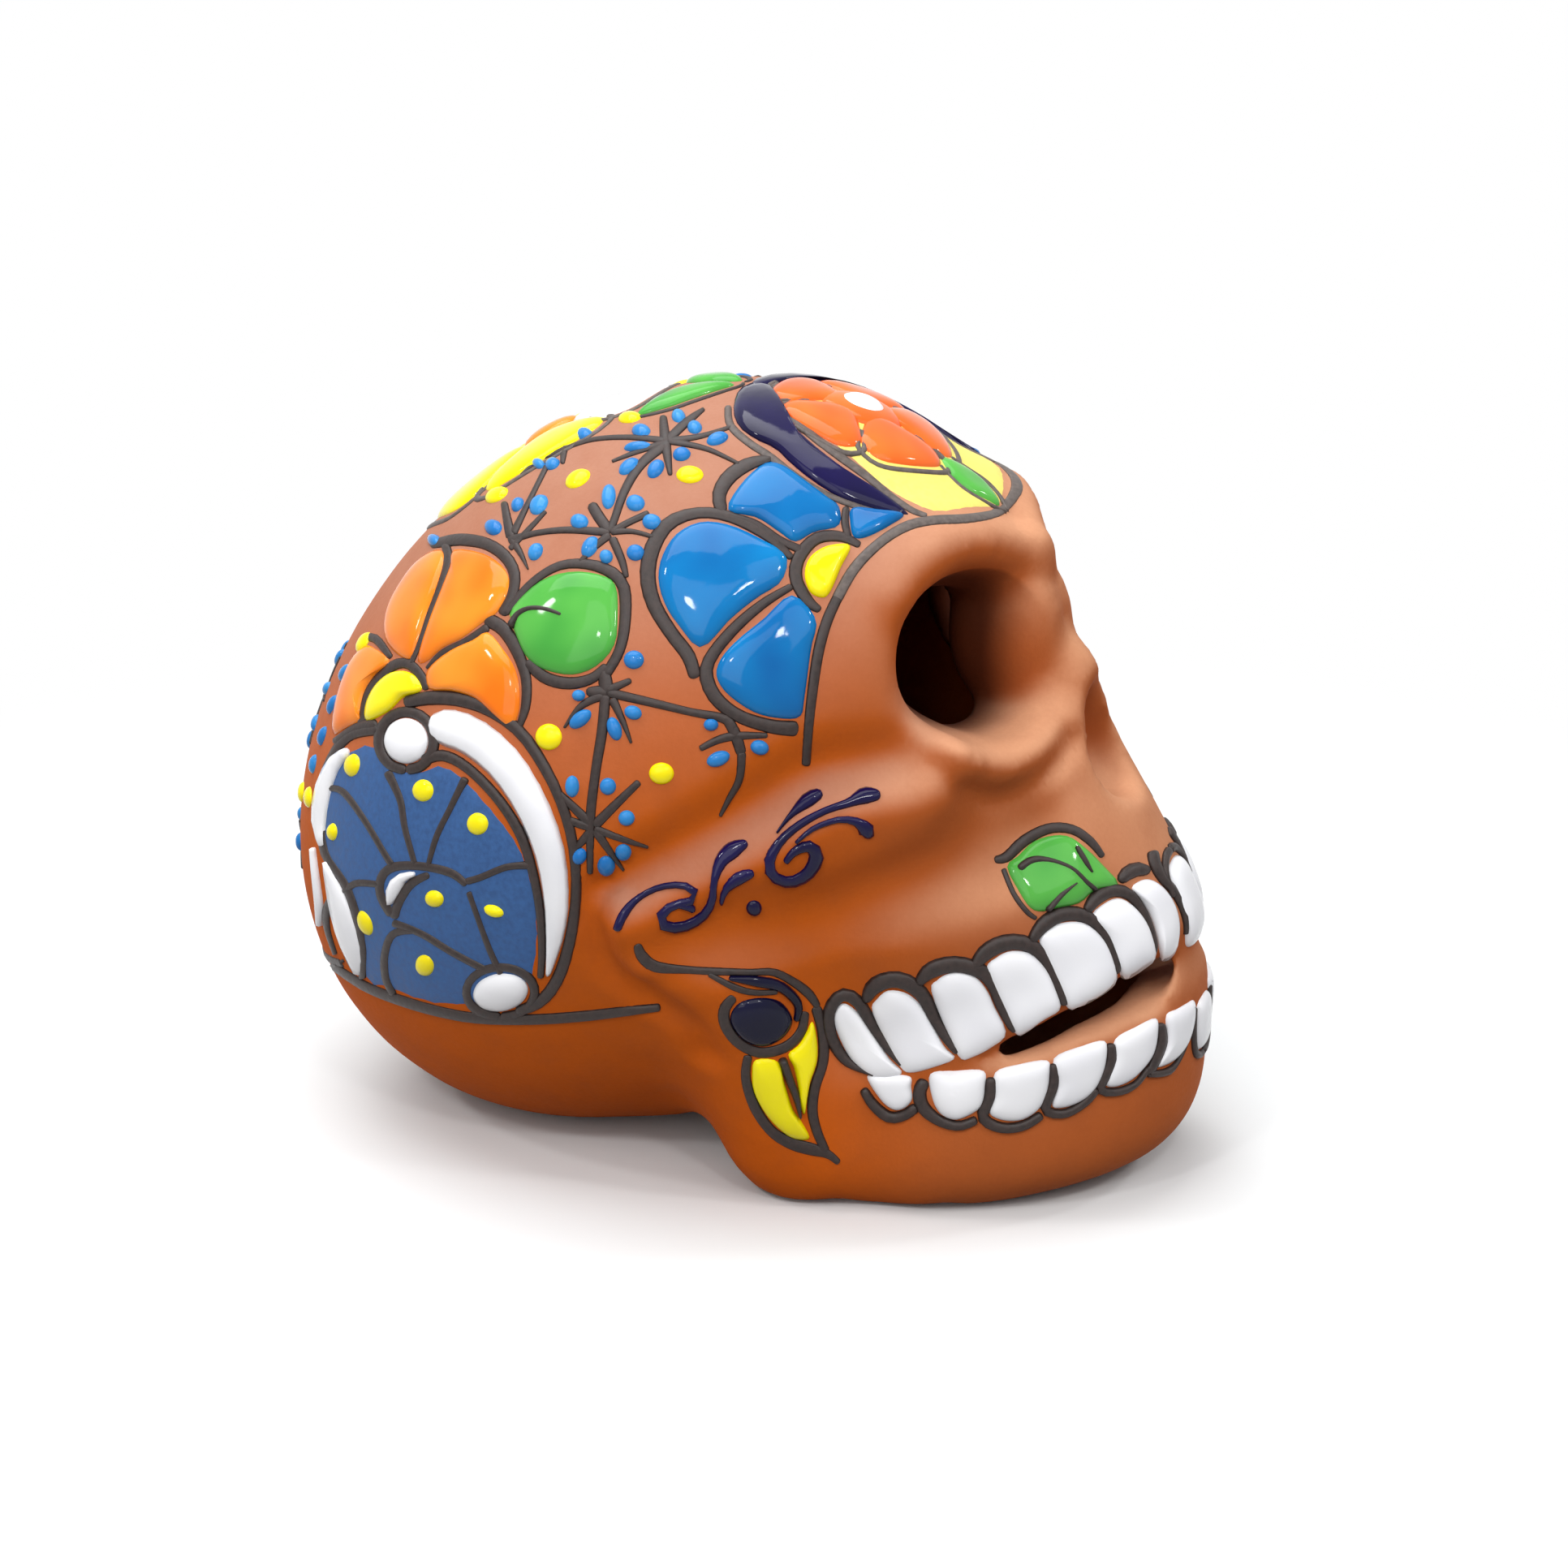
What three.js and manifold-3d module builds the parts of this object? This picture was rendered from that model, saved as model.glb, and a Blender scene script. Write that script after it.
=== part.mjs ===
// Painted clay skull: one hollow cast body carrying raised glaze teeth, petals, leaves and bands.
// Millimetres. +Z is up, the face looks along -Y, the clay rests on Z = 0, and X = 0 is the mirror plane.
import * as THREE from "three";
import { mergeVertices } from "three/addons/utils/BufferGeometryUtils.js";
import Module from "manifold-3d";

const wasm = await Module();
wasm.setup();

const DEGREE = Math.PI / 180;

// Clay wall, the foot it rests on and the rounding inside
const WALL = 6;
const BASE_THICKNESS = 7;
const HOLLOW_EDGE = 14;

// Cranium, an ellipsoid leaning back
const CRANIUM_HALF_WIDTH = 70;
const CRANIUM_HALF_LENGTH = 90;
const CRANIUM_HALF_HEIGHT = 68.6;
const CRANIUM_CENTRE_Y = 18.4;
const CRANIUM_CENTRE_Z = 77.3;
const CRANIUM_LEAN = 46.8;

// Upper face, the mass between cranium and eye sockets
const FACE_HALF_WIDTH = 42;
const FACE_HALF_DEPTH = 29;
const FACE_HALF_HEIGHT = 30;
const FACE_CENTRE_Y = -29;
const FACE_CENTRE_Z = 104;
const FACE_BLEND = 16;

// Eye sockets: a raised rim turned outwards, a bowl in it and a hole through the bowl
const SOCKET_X = 25;
const SOCKET_Y = -59.2;
const SOCKET_Z = 113;
const SOCKET_TURN = 26;
const SOCKET_HALF_WIDTH = 19.5;
const SOCKET_HALF_HEIGHT = 16.5;
const SOCKET_DEPTH = 26;
const SOCKET_EDGE = 6;
const RIM_WIDTH = 10.5;
const RIM_HALF_DEPTH = 14;
const RIM_SETBACK = 16.5;
const RIM_BLEND = 7;
const EYE_HOLE_HALF_WIDTH = 13.5;
const EYE_HOLE_HALF_HEIGHT = 13.5;
const EYE_HOLE_LENGTH = 46;
const EYE_HOLE_INSET = 4.5;
const EYE_HOLE_DROP = 4;

// Pouch below each eye, a roll with a crease under it
const POUCH_OUTER_X = 36;
const POUCH_OUTER_Y = -53.8;
const POUCH_OUTER_Z = 97.5;
const POUCH_INNER_X = 20;
const POUCH_INNER_Y = -61.5;
const POUCH_INNER_Z = 93.5;
const POUCH_RADIUS = 8;
const POUCH_BLEND = 4;

// Nose: a bridge, a rim on each side and a blind pear-shaped recess between them
const BRIDGE_TOP_Y = -52;
const BRIDGE_TOP_Z = 121;
const BRIDGE_TIP_Y = -65.6;
const BRIDGE_TIP_Z = 103;
const BRIDGE_RADIUS = 7.8;
const BRIDGE_BLEND = 5;
const NOSE_RIM_X = 7.5;
const NOSE_RIM_Y = -70;
const NOSE_RIM_Z = 86;
const NOSE_RIM_RADIUS = 6.5;
const NOSE_RIM_BLEND = 5;
const NOSE_Y = -77.5;
const NOSE_Z = 91.5;
const NOSE_HALF_WIDTH = 8.2;
const NOSE_HALF_HEIGHT = 12.5;
const NOSE_DEPTH = 12;
const NOSE_TAPER = 0.45;

// Flank of the face below the cheek arch
const FLANK_HALF_WIDTH = 48.5;
const FLANK_HALF_LENGTH = 44;
const FLANK_HALF_HEIGHT = 36;
const FLANK_CENTRE_Y = -36;
const FLANK_CENTRE_Z = 64;
const FLANK_BLEND = 12;

// Cheek arches, from under the eye back to the jaw hinge
const CHEEK_FRONT_X = 40;
const CHEEK_FRONT_Y = -46;
const CHEEK_FRONT_Z = 86;
const CHEEK_FRONT_RADIUS = 9;
const CHEEK_BACK_X = 56;
const CHEEK_BACK_Y = -7;
const CHEEK_BACK_Z = 63;
const CHEEK_BACK_RADIUS = 9.5;
const CHEEK_BLEND = 8;

// Upper jaw, an elliptical arch on a bite plane that climbs to the front
const ARCH_CENTRE_Y = -40;
const UPPER_ARCH_HALF_WIDTH = 42;
const UPPER_ARCH_REACH = 61;
const BITE_HEIGHT = 30.5;
const BITE_SLOPE = 22.5;
const UPPER_JAW_HEIGHT = 55;
const UPPER_JAW_TAPER = 0.2;
const UPPER_JAW_TAPER_FROM = 14;
const UPPER_JAW_TOP_BLEND = 26;
const UPPER_JAW_EDGE = 4;
const UPPER_JAW_BLEND = 12;

// Lower jaw, a slightly larger arch whose foot lifts towards the chin
const LOWER_ARCH_HALF_WIDTH = 45;
const LOWER_ARCH_REACH = 58;
const JAW_TOP_HEIGHT = 33;
const JAW_TOP_SLOPE = 16;
const JAW_TOP_EDGE = 9;
const JAW_BACK_Y = -10;
const JAW_BACK_EDGE = 16;
const JAW_FOOT_DROP = 3;
const JAW_FOOT_SLOPE = 9;
const JAW_FOOT_LIFT_FROM = 10;
const JAW_FOOT_EDGE = 18;
const JAW_BLEND = 9;

// Rear branch of the jaw, from the arch end down to the jaw corner
const BRANCH_TOP_X = 52;
const BRANCH_TOP_Y = -11;
const BRANCH_TOP_Z = 56;
const BRANCH_FOOT_X = 38;
const BRANCH_FOOT_Y = -22;
const BRANCH_FOOT_Z = 14;
const BRANCH_RADIUS = 12;
const BRANCH_BLEND = 14;

// Mouth slot, a wedge through both flanks that follows the upper bite edge
const SLOT_FRONT_Y = -90;
const SLOT_BACK_Y = -50;
const SLOT_HALF_HEIGHT = 3.5;
const SLOT_DROP = 5;

// Glaze: clearance to the clay, height of its edge and crown, painted line between petals
const GLAZE_CLEARANCE = 0.45;
const GLAZE_EDGE = 0.6;
const GLAZE_CROWN = 2;
const TOOTH_CROWN = 2.8;
const OUTLINE_WIDTH = 2;

// Teeth a side, counted from the middle of the mouth, where the upper row has one more tooth
const UPPER_TEETH = 7;
const UPPER_TOOTH_PITCH = 10.9;
const UPPER_TOOTH_HEIGHT = 17.5;
const UPPER_TOOTH_FOOT = 1;
const LOWER_TEETH = 6;
const LOWER_TOOTH_PITCH = 13.3;
const LOWER_TOOTH_HEIGHT = 10.5;
const LOWER_ROW_HEIGHT = 28;
const LOWER_ROW_SLOPE = 12.5;
const TOOTH_GAP = 1.2;

// Blue flower on the temple: petals by direction, length and spread, round a small centre
const BLUE_FLOWER_Y = -31;
const BLUE_FLOWER_Z = 132;
const BLUE_PETAL_START = 7.5;
const BLUE_BACK_ANGLE = -9;
const BLUE_BACK_LENGTH = 26;
const BLUE_BACK_SPREAD = 57;
const BLUE_TOP_ANGLE = 58;
const BLUE_TOP_LENGTH = 14.5;
const BLUE_TOP_SPREAD = 56;
const BLUE_FOOT_ANGLE = -62;
const BLUE_FOOT_LENGTH = 23;
const BLUE_FOOT_SPREAD = 44;
const BLUE_CENTRE_DIAMETER = 10;

// Orange flower behind it
const ORANGE_FLOWER_Y = 55;
const ORANGE_FLOWER_Z = 102;
const ORANGE_PETAL_START = 8;
const ORANGE_PETAL_LENGTH = 24;
const ORANGE_FIRST_ANGLE = 4;
const ORANGE_PETAL_STEP = 50;
const ORANGE_PETALS = 4;
const ORANGE_CENTRE_DIAMETER = 11;

// Leaves: on the temple, on the jaw and on the lip
const TEMPLE_LEAF_Y = 15.5;
const TEMPLE_LEAF_Z = 122;
const TEMPLE_LEAF_LENGTH = 22;
const TEMPLE_LEAF_WIDTH = 19;
const TEMPLE_LEAF_ANGLE = 172;
const JAW_LEAF_Y = -27;
const JAW_LEAF_Z = 29;
const JAW_LEAF_LENGTH = 25;
const JAW_LEAF_WIDTH = 11;
const JAW_LEAF_ANGLE = -97;
const LIP_LEAF_Y = -70;
const LIP_LEAF_Z = 72.5;
const LIP_LEAF_LENGTH = 20;
const LIP_LEAF_WIDTH = 13;
const LIP_LEAF_ANGLE = 195;

// White crescent round the medallion on the side, and the bead at its foot
const MEDALLION_Y = 46;
const MEDALLION_Z = 68;
const CRESCENT_RADIUS = 31;
const CRESCENT_WIDTH = 7.5;
const CRESCENT_START = 92;
const CRESCENT_END = 208;
const BEAD_Y = 27.6;
const BEAD_Z = 46.4;
const BEAD_DIAMETER = 9.5;

// Blue band round the forehead, clear of the blue flower
const FOREHEAD_Y = -32;
const BAND_CLEARANCE = 0.8;
const BAND_WIDTH = 8;
const BAND_START = 78;
const BAND_END = -22;

// Flower that the band hugs: its radius and its place behind the middle, as shares of the band's radius
const FOREHEAD_FLOWER_SHARE = 0.5;
const FOREHEAD_FLOWER_BACK_SHARE = 0.28;
const FOREHEAD_PETALS = 5;

// Leaf between that flower and the brow
const FOREHEAD_LEAF_Y = -44;
const FOREHEAD_LEAF_LENGTH = 10.5;
const FOREHEAD_LEAF_WIDTH = 7.5;

// Facets: grid of the clay, fine on the face and coarse behind it, grid of its hollow, stations along glaze
const FACE_CELL = 5.2;
const BACK_CELL = 9.5;
const CELL_GROWTH = 0.3;
const FINE_HALF_WIDTH = 46;
const FINE_BACK_Y = -28;
const FINE_BOTTOM_Z = 26;
const FINE_TOP_Z = 128;
const HOLLOW_CELL = 16;
const HOLLOW_FINE_CELL = 9;
const POOL_STATIONS = 7;
const TOOTH_STATIONS = 5;
const ROSETTE_PETAL_SIDES = 6;
const HOLE_SIDES = 20;
const NOSE_SIDES = 16;
const NOSE_RINGS = 12;
const SLOT_END_SIDES = 6;

// Swell and outline of glaze: powers of the crown, of a tooth, of a leaf, of a crescent, taper of the band,
// shoulders of a petal and of a crown, depth of the notches between the petals of a rosette
const CROWN_ACROSS_POWER = 2.5;
const CROWN_ALONG_POWER = 4;
const TOOTH_POWER = 3.2;
const ROUND_POWER = 2;
const LEAF_POWER = 0.8;
const CRESCENT_POWER = 0.5;
const BAND_TAPER = 0.6;
const PETAL_SHOULDER = 0.5;
const SHOULDER = 0.62;
const ROSETTE_NOTCH = 0.38;

const TERRACOTTA = new THREE.MeshStandardMaterial({ color: 0xb4683c, roughness: 0.8 });
const WHITE_GLAZE = new THREE.MeshStandardMaterial({ color: 0xf2f2f4, roughness: 0.2 });
const BLUE_GLAZE = new THREE.MeshStandardMaterial({ color: 0x1478c8, roughness: 0.15 });
const ORANGE_GLAZE = new THREE.MeshStandardMaterial({ color: 0xf07820, roughness: 0.15 });
const YELLOW_GLAZE = new THREE.MeshStandardMaterial({ color: 0xf8e808, roughness: 0.15 });
const GREEN_GLAZE = new THREE.MeshStandardMaterial({ color: 0x5cab4a, roughness: 0.15 });
const COBALT_GLAZE = new THREE.MeshStandardMaterial({ color: 0x1c1658, roughness: 0.15 });

// Joins two forms with a fillet of the given reach.
function blend(a, b, reach) {
  const overlap = Math.max(reach - Math.abs(a - b), 0);
  return Math.min(a, b) - (overlap * overlap) / (4 * reach);
}

// Keeps what two forms share, with a rounded edge.
function trim(a, b, reach) {
  return -blend(-a, -b, reach);
}

// Cuts b out of a, with a rounded edge.
function carve(a, b, reach) {
  return trim(a, -b, reach);
}

// Distance to an ellipsoid; without the third pair, to an upright elliptical column.
function ellipsoid(x, y, rx, ry, z = 0, rz = 1) {
  const level = Math.hypot(x / rx, y / ry, z / rz);
  const slope = Math.hypot(x / (rx * rx), y / (ry * ry), z / (rz * rz));
  return slope === 0 ? -Math.min(rx, ry) : (level * (level - 1)) / slope;
}

// Distance to a rod with round ends whose radius runs from ra to rb.
function taperedRod(p, a, b, ra, rb) {
  const axis = b.clone().sub(a);
  const reach = p.clone().sub(a);
  const along = Math.min(1, Math.max(0, reach.dot(axis) / axis.lengthSq()));
  return reach.addScaledVector(axis, -along).length() - (ra + along * (rb - ra));
}

const vector = (x, y, z) => new THREE.Vector3(x, y, z);
const cheekFront = vector(CHEEK_FRONT_X, CHEEK_FRONT_Y, CHEEK_FRONT_Z);
const cheekBack = vector(CHEEK_BACK_X, CHEEK_BACK_Y, CHEEK_BACK_Z);
const branchTop = vector(BRANCH_TOP_X, BRANCH_TOP_Y, BRANCH_TOP_Z);
const branchFoot = vector(BRANCH_FOOT_X, BRANCH_FOOT_Y, BRANCH_FOOT_Z);
const bridgeTop = vector(0, BRIDGE_TOP_Y, BRIDGE_TOP_Z);
const bridgeTip = vector(0, BRIDGE_TIP_Y, BRIDGE_TIP_Z);
const noseRim = vector(NOSE_RIM_X, NOSE_RIM_Y, NOSE_RIM_Z);
const pouchOuter = vector(POUCH_OUTER_X, POUCH_OUTER_Y, POUCH_OUTER_Z);
const pouchInner = vector(POUCH_INNER_X, POUCH_INNER_Y, POUCH_INNER_Z);
const socketCentre = vector(SOCKET_X, SOCKET_Y, SOCKET_Z);
const socketOut = vector(Math.sin(SOCKET_TURN * DEGREE), -Math.cos(SOCKET_TURN * DEGREE), 0);
const socketAcross = vector(Math.cos(SOCKET_TURN * DEGREE), Math.sin(SOCKET_TURN * DEGREE), 0);
const leanCos = Math.cos(CRANIUM_LEAN * DEGREE);
const leanSin = Math.sin(CRANIUM_LEAN * DEGREE);
const biteCos = Math.cos(BITE_SLOPE * DEGREE);
const biteSin = Math.sin(BITE_SLOPE * DEGREE);
const jawRise = Math.tan(JAW_TOP_SLOPE * DEGREE);
const footRise = Math.tan(JAW_FOOT_SLOPE * DEGREE);

function cranium(p) {
  const y = p.y - CRANIUM_CENTRE_Y;
  const z = p.z - CRANIUM_CENTRE_Z;
  const along = y * leanCos - z * leanSin;
  const over = y * leanSin + z * leanCos;
  return ellipsoid(p.x, along, CRANIUM_HALF_WIDTH, CRANIUM_HALF_LENGTH, over, CRANIUM_HALF_HEIGHT);
}

function upperFace(p) {
  const y = p.y - FACE_CENTRE_Y;
  const z = p.z - FACE_CENTRE_Z;
  return ellipsoid(p.x, y, FACE_HALF_WIDTH, FACE_HALF_DEPTH, z, FACE_HALF_HEIGHT);
}

function flank(p) {
  const y = p.y - FLANK_CENTRE_Y;
  const z = p.z - FLANK_CENTRE_Z;
  return ellipsoid(p.x, y, FLANK_HALF_WIDTH, FLANK_HALF_LENGTH, z, FLANK_HALF_HEIGHT);
}

function upperJaw(p) {
  const y = p.y - ARCH_CENTRE_Y;
  const z = p.z - BITE_HEIGHT;
  const run = y * biteCos - z * biteSin;
  const rise = y * biteSin + z * biteCos;
  const taper = UPPER_JAW_TAPER * Math.max(0, rise - UPPER_JAW_TAPER_FROM);
  const column = ellipsoid(p.x, run, UPPER_ARCH_HALF_WIDTH, UPPER_ARCH_REACH) + taper;
  return trim(trim(column, rise - UPPER_JAW_HEIGHT, UPPER_JAW_TOP_BLEND), -rise, UPPER_JAW_EDGE);
}

function lowerJaw(p) {
  const front = ARCH_CENTRE_Y - p.y;
  const column = ellipsoid(p.x, front, LOWER_ARCH_HALF_WIDTH, LOWER_ARCH_REACH);
  const topped = trim(column, p.z - JAW_TOP_HEIGHT - jawRise * front, JAW_TOP_EDGE);
  const backed = trim(topped, p.y - JAW_BACK_Y, JAW_BACK_EDGE);
  const foot = footRise * Math.max(0, front - JAW_FOOT_LIFT_FROM) - JAW_FOOT_DROP;
  return trim(backed, foot - p.z, JAW_FOOT_EDGE);
}

// Cranium, face and jaws as one rounded mass.
function mass(p) {
  let d = blend(cranium(p), upperFace(p), FACE_BLEND);
  d = blend(d, flank(p), FLANK_BLEND);
  d = blend(d, upperJaw(p), UPPER_JAW_BLEND);
  return blend(d, lowerJaw(p), JAW_BLEND);
}

// Eye socket: an ellipsoid on its centre line, set back by a given depth.
function socketForm(p, halfWide, halfHigh, halfDeep, setback) {
  const from = p.clone().sub(socketCentre);
  const out = from.dot(socketOut) + setback;
  return ellipsoid(from.dot(socketAcross), from.z, halfWide, halfHigh, out, halfDeep);
}

function socketRim(p) {
  const halfWide = SOCKET_HALF_WIDTH + RIM_WIDTH;
  const halfHigh = SOCKET_HALF_HEIGHT + RIM_WIDTH;
  return socketForm(p, halfWide, halfHigh, RIM_HALF_DEPTH, RIM_SETBACK);
}

function socketBowl(p) {
  return socketForm(p, SOCKET_HALF_WIDTH, SOCKET_HALF_HEIGHT, SOCKET_DEPTH, 0);
}

// Distance to the outer clay surface, negative inside.
function clay(x, y, z) {
  const p = vector(Math.abs(x), y, z);
  let d = blend(mass(p), socketRim(p), RIM_BLEND);
  d = blend(d, taperedRod(p, branchTop, branchFoot, BRANCH_RADIUS, BRANCH_RADIUS), BRANCH_BLEND);
  d = blend(d, taperedRod(p, cheekFront, cheekBack, CHEEK_FRONT_RADIUS, CHEEK_BACK_RADIUS), CHEEK_BLEND);
  d = blend(d, taperedRod(p, bridgeTop, bridgeTip, BRIDGE_RADIUS, BRIDGE_RADIUS), BRIDGE_BLEND);
  d = blend(d, taperedRod(p, bridgeTip, noseRim, BRIDGE_RADIUS, NOSE_RIM_RADIUS), NOSE_RIM_BLEND);
  d = blend(d, taperedRod(p, pouchOuter, pouchInner, POUCH_RADIUS, POUCH_RADIUS), POUCH_BLEND);
  return carve(d, socketBowl(p), SOCKET_EDGE);
}

// Distance to the hollow inside the clay.
function hollow(x, y, z) {
  const p = vector(Math.abs(x), y, z);
  const noseFloor = ellipsoid(p.x, y - NOSE_Y, NOSE_HALF_WIDTH, NOSE_DEPTH, z - NOSE_Z, NOSE_HALF_HEIGHT);
  let room = carve(mass(p) + WALL, socketBowl(p) - WALL, HOLLOW_EDGE);
  room = carve(room, noseFloor - WALL, HOLLOW_EDGE);
  return Math.max(room, clay(x, y, z) + WALL, BASE_THICKNESS - z);
}

const STEP = 0.05;
const SETTLE_PASSES = 3;
const EVENING_PASSES = 3;
const EVENING_SHARE = 0.5;
const WALK_PASSES = 60;
const WALK_SHARE = 0.8;
const ARCH_STEPS = 2000;

// Direction in which a field grows, and how fast.
function gradient(field, p) {
  const here = field(p.x, p.y, p.z);
  return vector(
    field(p.x + STEP, p.y, p.z) - here,
    field(p.x, p.y + STEP, p.z) - here,
    field(p.x, p.y, p.z + STEP) - here,
  ).divideScalar(STEP);
}

// Moves a point close to a surface onto it.
function settle(field, p, limit) {
  for (let pass = 0; pass < SETTLE_PASSES; pass++) {
    const slope = gradient(field, p);
    const move = field(p.x, p.y, p.z) / slope.lengthSq();
    p.addScaledVector(slope, -Math.min(limit, Math.max(-limit, move)));
  }
  return p;
}

// Positions from lo to hi: fine steps between two bounds, growing to coarse ones outside them.
function gridLine(lo, hi, fineFrom, fineTo, fine, coarse) {
  const line = [lo];
  while (line[line.length - 1] < hi) {
    const last = line[line.length - 1];
    const outside = Math.max(fineFrom - last, last - fineTo, 0);
    line.push(last + Math.min(coarse, fine + CELL_GROWTH * outside));
  }
  return line;
}

// The same line on both sides of the mirror plane.
function mirroredLine(half) {
  return [...half.slice(1).reverse().map((x) => -x), ...half];
}

// Skin of a field: one vertex in each grid cell that the surface crosses, joined across cell edges.
function skin(field, xs, ys, zs) {
  const slot = (i, j, k) => (i * ys.length + j) * zs.length + k;
  const value = new Float64Array(xs.length * ys.length * zs.length);
  xs.forEach((x, i) => ys.forEach((y, j) => zs.forEach((z, k) => {
    value[slot(i, j, k)] = field(x, y, z);
  })));
  fillCorners(value, slot, xs.length, ys.length, zs.length);
  const points = [];
  const reach = [];
  const vertexAt = new Map();
  const addCell = (i, j, k) => {
    const middle = vector(0, 0, 0);
    let crossings = 0;
    for (let corner = 0; corner < 8; corner++) {
      for (const bit of [1, 2, 4]) {
        if (corner & bit) continue;
        const other = corner | bit;
        const a = [i + (corner & 1), j + ((corner >> 1) & 1), k + (corner >> 2)];
        const b = [i + (other & 1), j + ((other >> 1) & 1), k + (other >> 2)];
        const from = value[slot(...a)];
        const to = value[slot(...b)];
        if (from < 0 === to < 0) continue;
        const start = vector(xs[a[0]], ys[a[1]], zs[a[2]]);
        middle.add(start.lerp(vector(xs[b[0]], ys[b[1]], zs[b[2]]), from / (from - to)));
        crossings++;
      }
    }
    if (crossings === 0) return;
    vertexAt.set(slot(i, j, k), points.length);
    const cell = Math.min(xs[i + 1] - xs[i], ys[j + 1] - ys[j], zs[k + 1] - zs[k]);
    reach.push(cell / 4);
    points.push(settle(field, middle.divideScalar(crossings), cell / 4));
  };
  for (let i = 0; i + 1 < xs.length; i++) {
    for (let j = 0; j + 1 < ys.length; j++) {
      for (let k = 0; k + 1 < zs.length; k++) addCell(i, j, k);
    }
  }
  const quads = [];
  const addQuad = (cells, turned) => {
    const corners = cells.map((cell) => vertexAt.get(cell));
    quads.push(turned ? corners.reverse() : corners);
  };
  for (let i = 1; i + 1 < xs.length; i++) {
    for (let j = 1; j + 1 < ys.length; j++) {
      for (let k = 1; k + 1 < zs.length; k++) {
        const inside = value[slot(i, j, k)] < 0;
        if (inside !== value[slot(i + 1, j, k)] < 0) {
          addQuad([slot(i, j - 1, k - 1), slot(i, j, k - 1), slot(i, j, k), slot(i, j - 1, k)], !inside);
        }
        if (inside !== value[slot(i, j + 1, k)] < 0) {
          addQuad([slot(i - 1, j, k - 1), slot(i - 1, j, k), slot(i, j, k), slot(i, j, k - 1)], !inside);
        }
        if (inside !== value[slot(i, j, k + 1)] < 0) {
          addQuad([slot(i - 1, j - 1, k), slot(i, j - 1, k), slot(i, j, k), slot(i - 1, j, k)], !inside);
        }
      }
    }
  }
  for (let pass = 0; pass < EVENING_PASSES; pass++) evenOut(field, points, reach, quads);
  const index = [];
  for (const [a, b, c, d] of quads) {
    const slanted = points[a].distanceTo(points[c]) > points[b].distanceTo(points[d]);
    if (slanted) index.push(a, b, d, b, c, d);
    else index.push(a, b, c, a, c, d);
  }
  return geometryOf(points.flatMap((point) => [...point]), index);
}

// Fills grid corners until no two solid cells meet only along an edge or at a point, the same on both sides.
function fillCorners(value, slot, countX, countY, countZ) {
  const solid = (i, j, k) => value[slot(i, j, k)] < 0;
  const fill = (i, j, k) => {
    for (const place of [slot(i, j, k), slot(countX - 1 - i, j, k)]) {
      value[place] = -Math.abs(value[place]) - STEP;
    }
    return true;
  };
  const easiest = (spots) => spots.reduce((a, b) => (value[slot(...a)] < value[slot(...b)] ? a : b));
  const mend = (first, second, third, fourth) => {
    if (solid(...first) !== solid(...second) || solid(...third) !== solid(...fourth)) return false;
    if (solid(...first) === solid(...third)) return false;
    return fill(...easiest(solid(...first) ? [third, fourth] : [first, second]));
  };
  const mendCell = (i, j, k) => {
    const corner = (x, y, z) => [i + x, j + y, k + z];
    let filled = mend(corner(0, 0, 0), corner(0, 1, 1), corner(0, 1, 0), corner(0, 0, 1));
    filled = mend(corner(0, 0, 0), corner(1, 0, 1), corner(1, 0, 0), corner(0, 0, 1)) || filled;
    filled = mend(corner(0, 0, 0), corner(1, 1, 0), corner(1, 0, 0), corner(0, 1, 0)) || filled;
    for (const x of [0, 1]) {
      for (const y of [0, 1]) {
        const ends = [corner(x, y, 0), corner(1 - x, 1 - y, 1)];
        const others = [corner(x, y, 1), corner(x, 1 - y, 0), corner(1 - x, y, 0)]
          .concat([corner(x, 1 - y, 1), corner(1 - x, y, 1), corner(1 - x, 1 - y, 0)]);
        const apart = ends.every((end) => solid(...end)) && !others.some((other) => solid(...other));
        const pierced = !ends.some((end) => solid(...end)) && others.every((other) => solid(...other));
        if (apart || pierced) filled = fill(...easiest(apart ? others : ends));
      }
    }
    return filled;
  };
  for (let filled = true; filled;) {
    filled = false;
    for (let i = 0; i + 1 < countX; i++) {
      for (let j = 0; j + 1 < countY; j++) {
        for (let k = 0; k + 1 < countZ; k++) filled = mendCell(i, j, k) || filled;
      }
    }
  }
}

// Draws each vertex towards the middle of its neighbours and back onto the surface.
function evenOut(field, points, reach, quads) {
  const sums = points.map(() => vector(0, 0, 0));
  const counts = points.map(() => 0);
  for (const quad of quads) {
    quad.forEach((corner, i) => {
      for (const other of [quad[(i + 1) % 4], quad[(i + 3) % 4]]) {
        sums[corner].add(points[other]);
        counts[corner]++;
      }
    });
  }
  points.forEach((point, i) => {
    point.lerp(sums[i].divideScalar(counts[i]), EVENING_SHARE);
    settle(field, point, reach[i]);
  });
}

function geometryOf(points, index) {
  const geometry = new THREE.BufferGeometry();
  geometry.setAttribute("position", new THREE.Float32BufferAttribute(points, 3));
  return geometry.setIndex(index);
}

function solidOf(geometry) {
  const plain = geometry.clone().deleteAttribute("normal").deleteAttribute("uv");
  const merged = mergeVertices(plain);
  return new wasm.Manifold(new wasm.Mesh({
    numProp: 3,
    vertProperties: merged.attributes.position.array,
    triVerts: new Uint32Array(merged.index.array),
  }));
}

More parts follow.
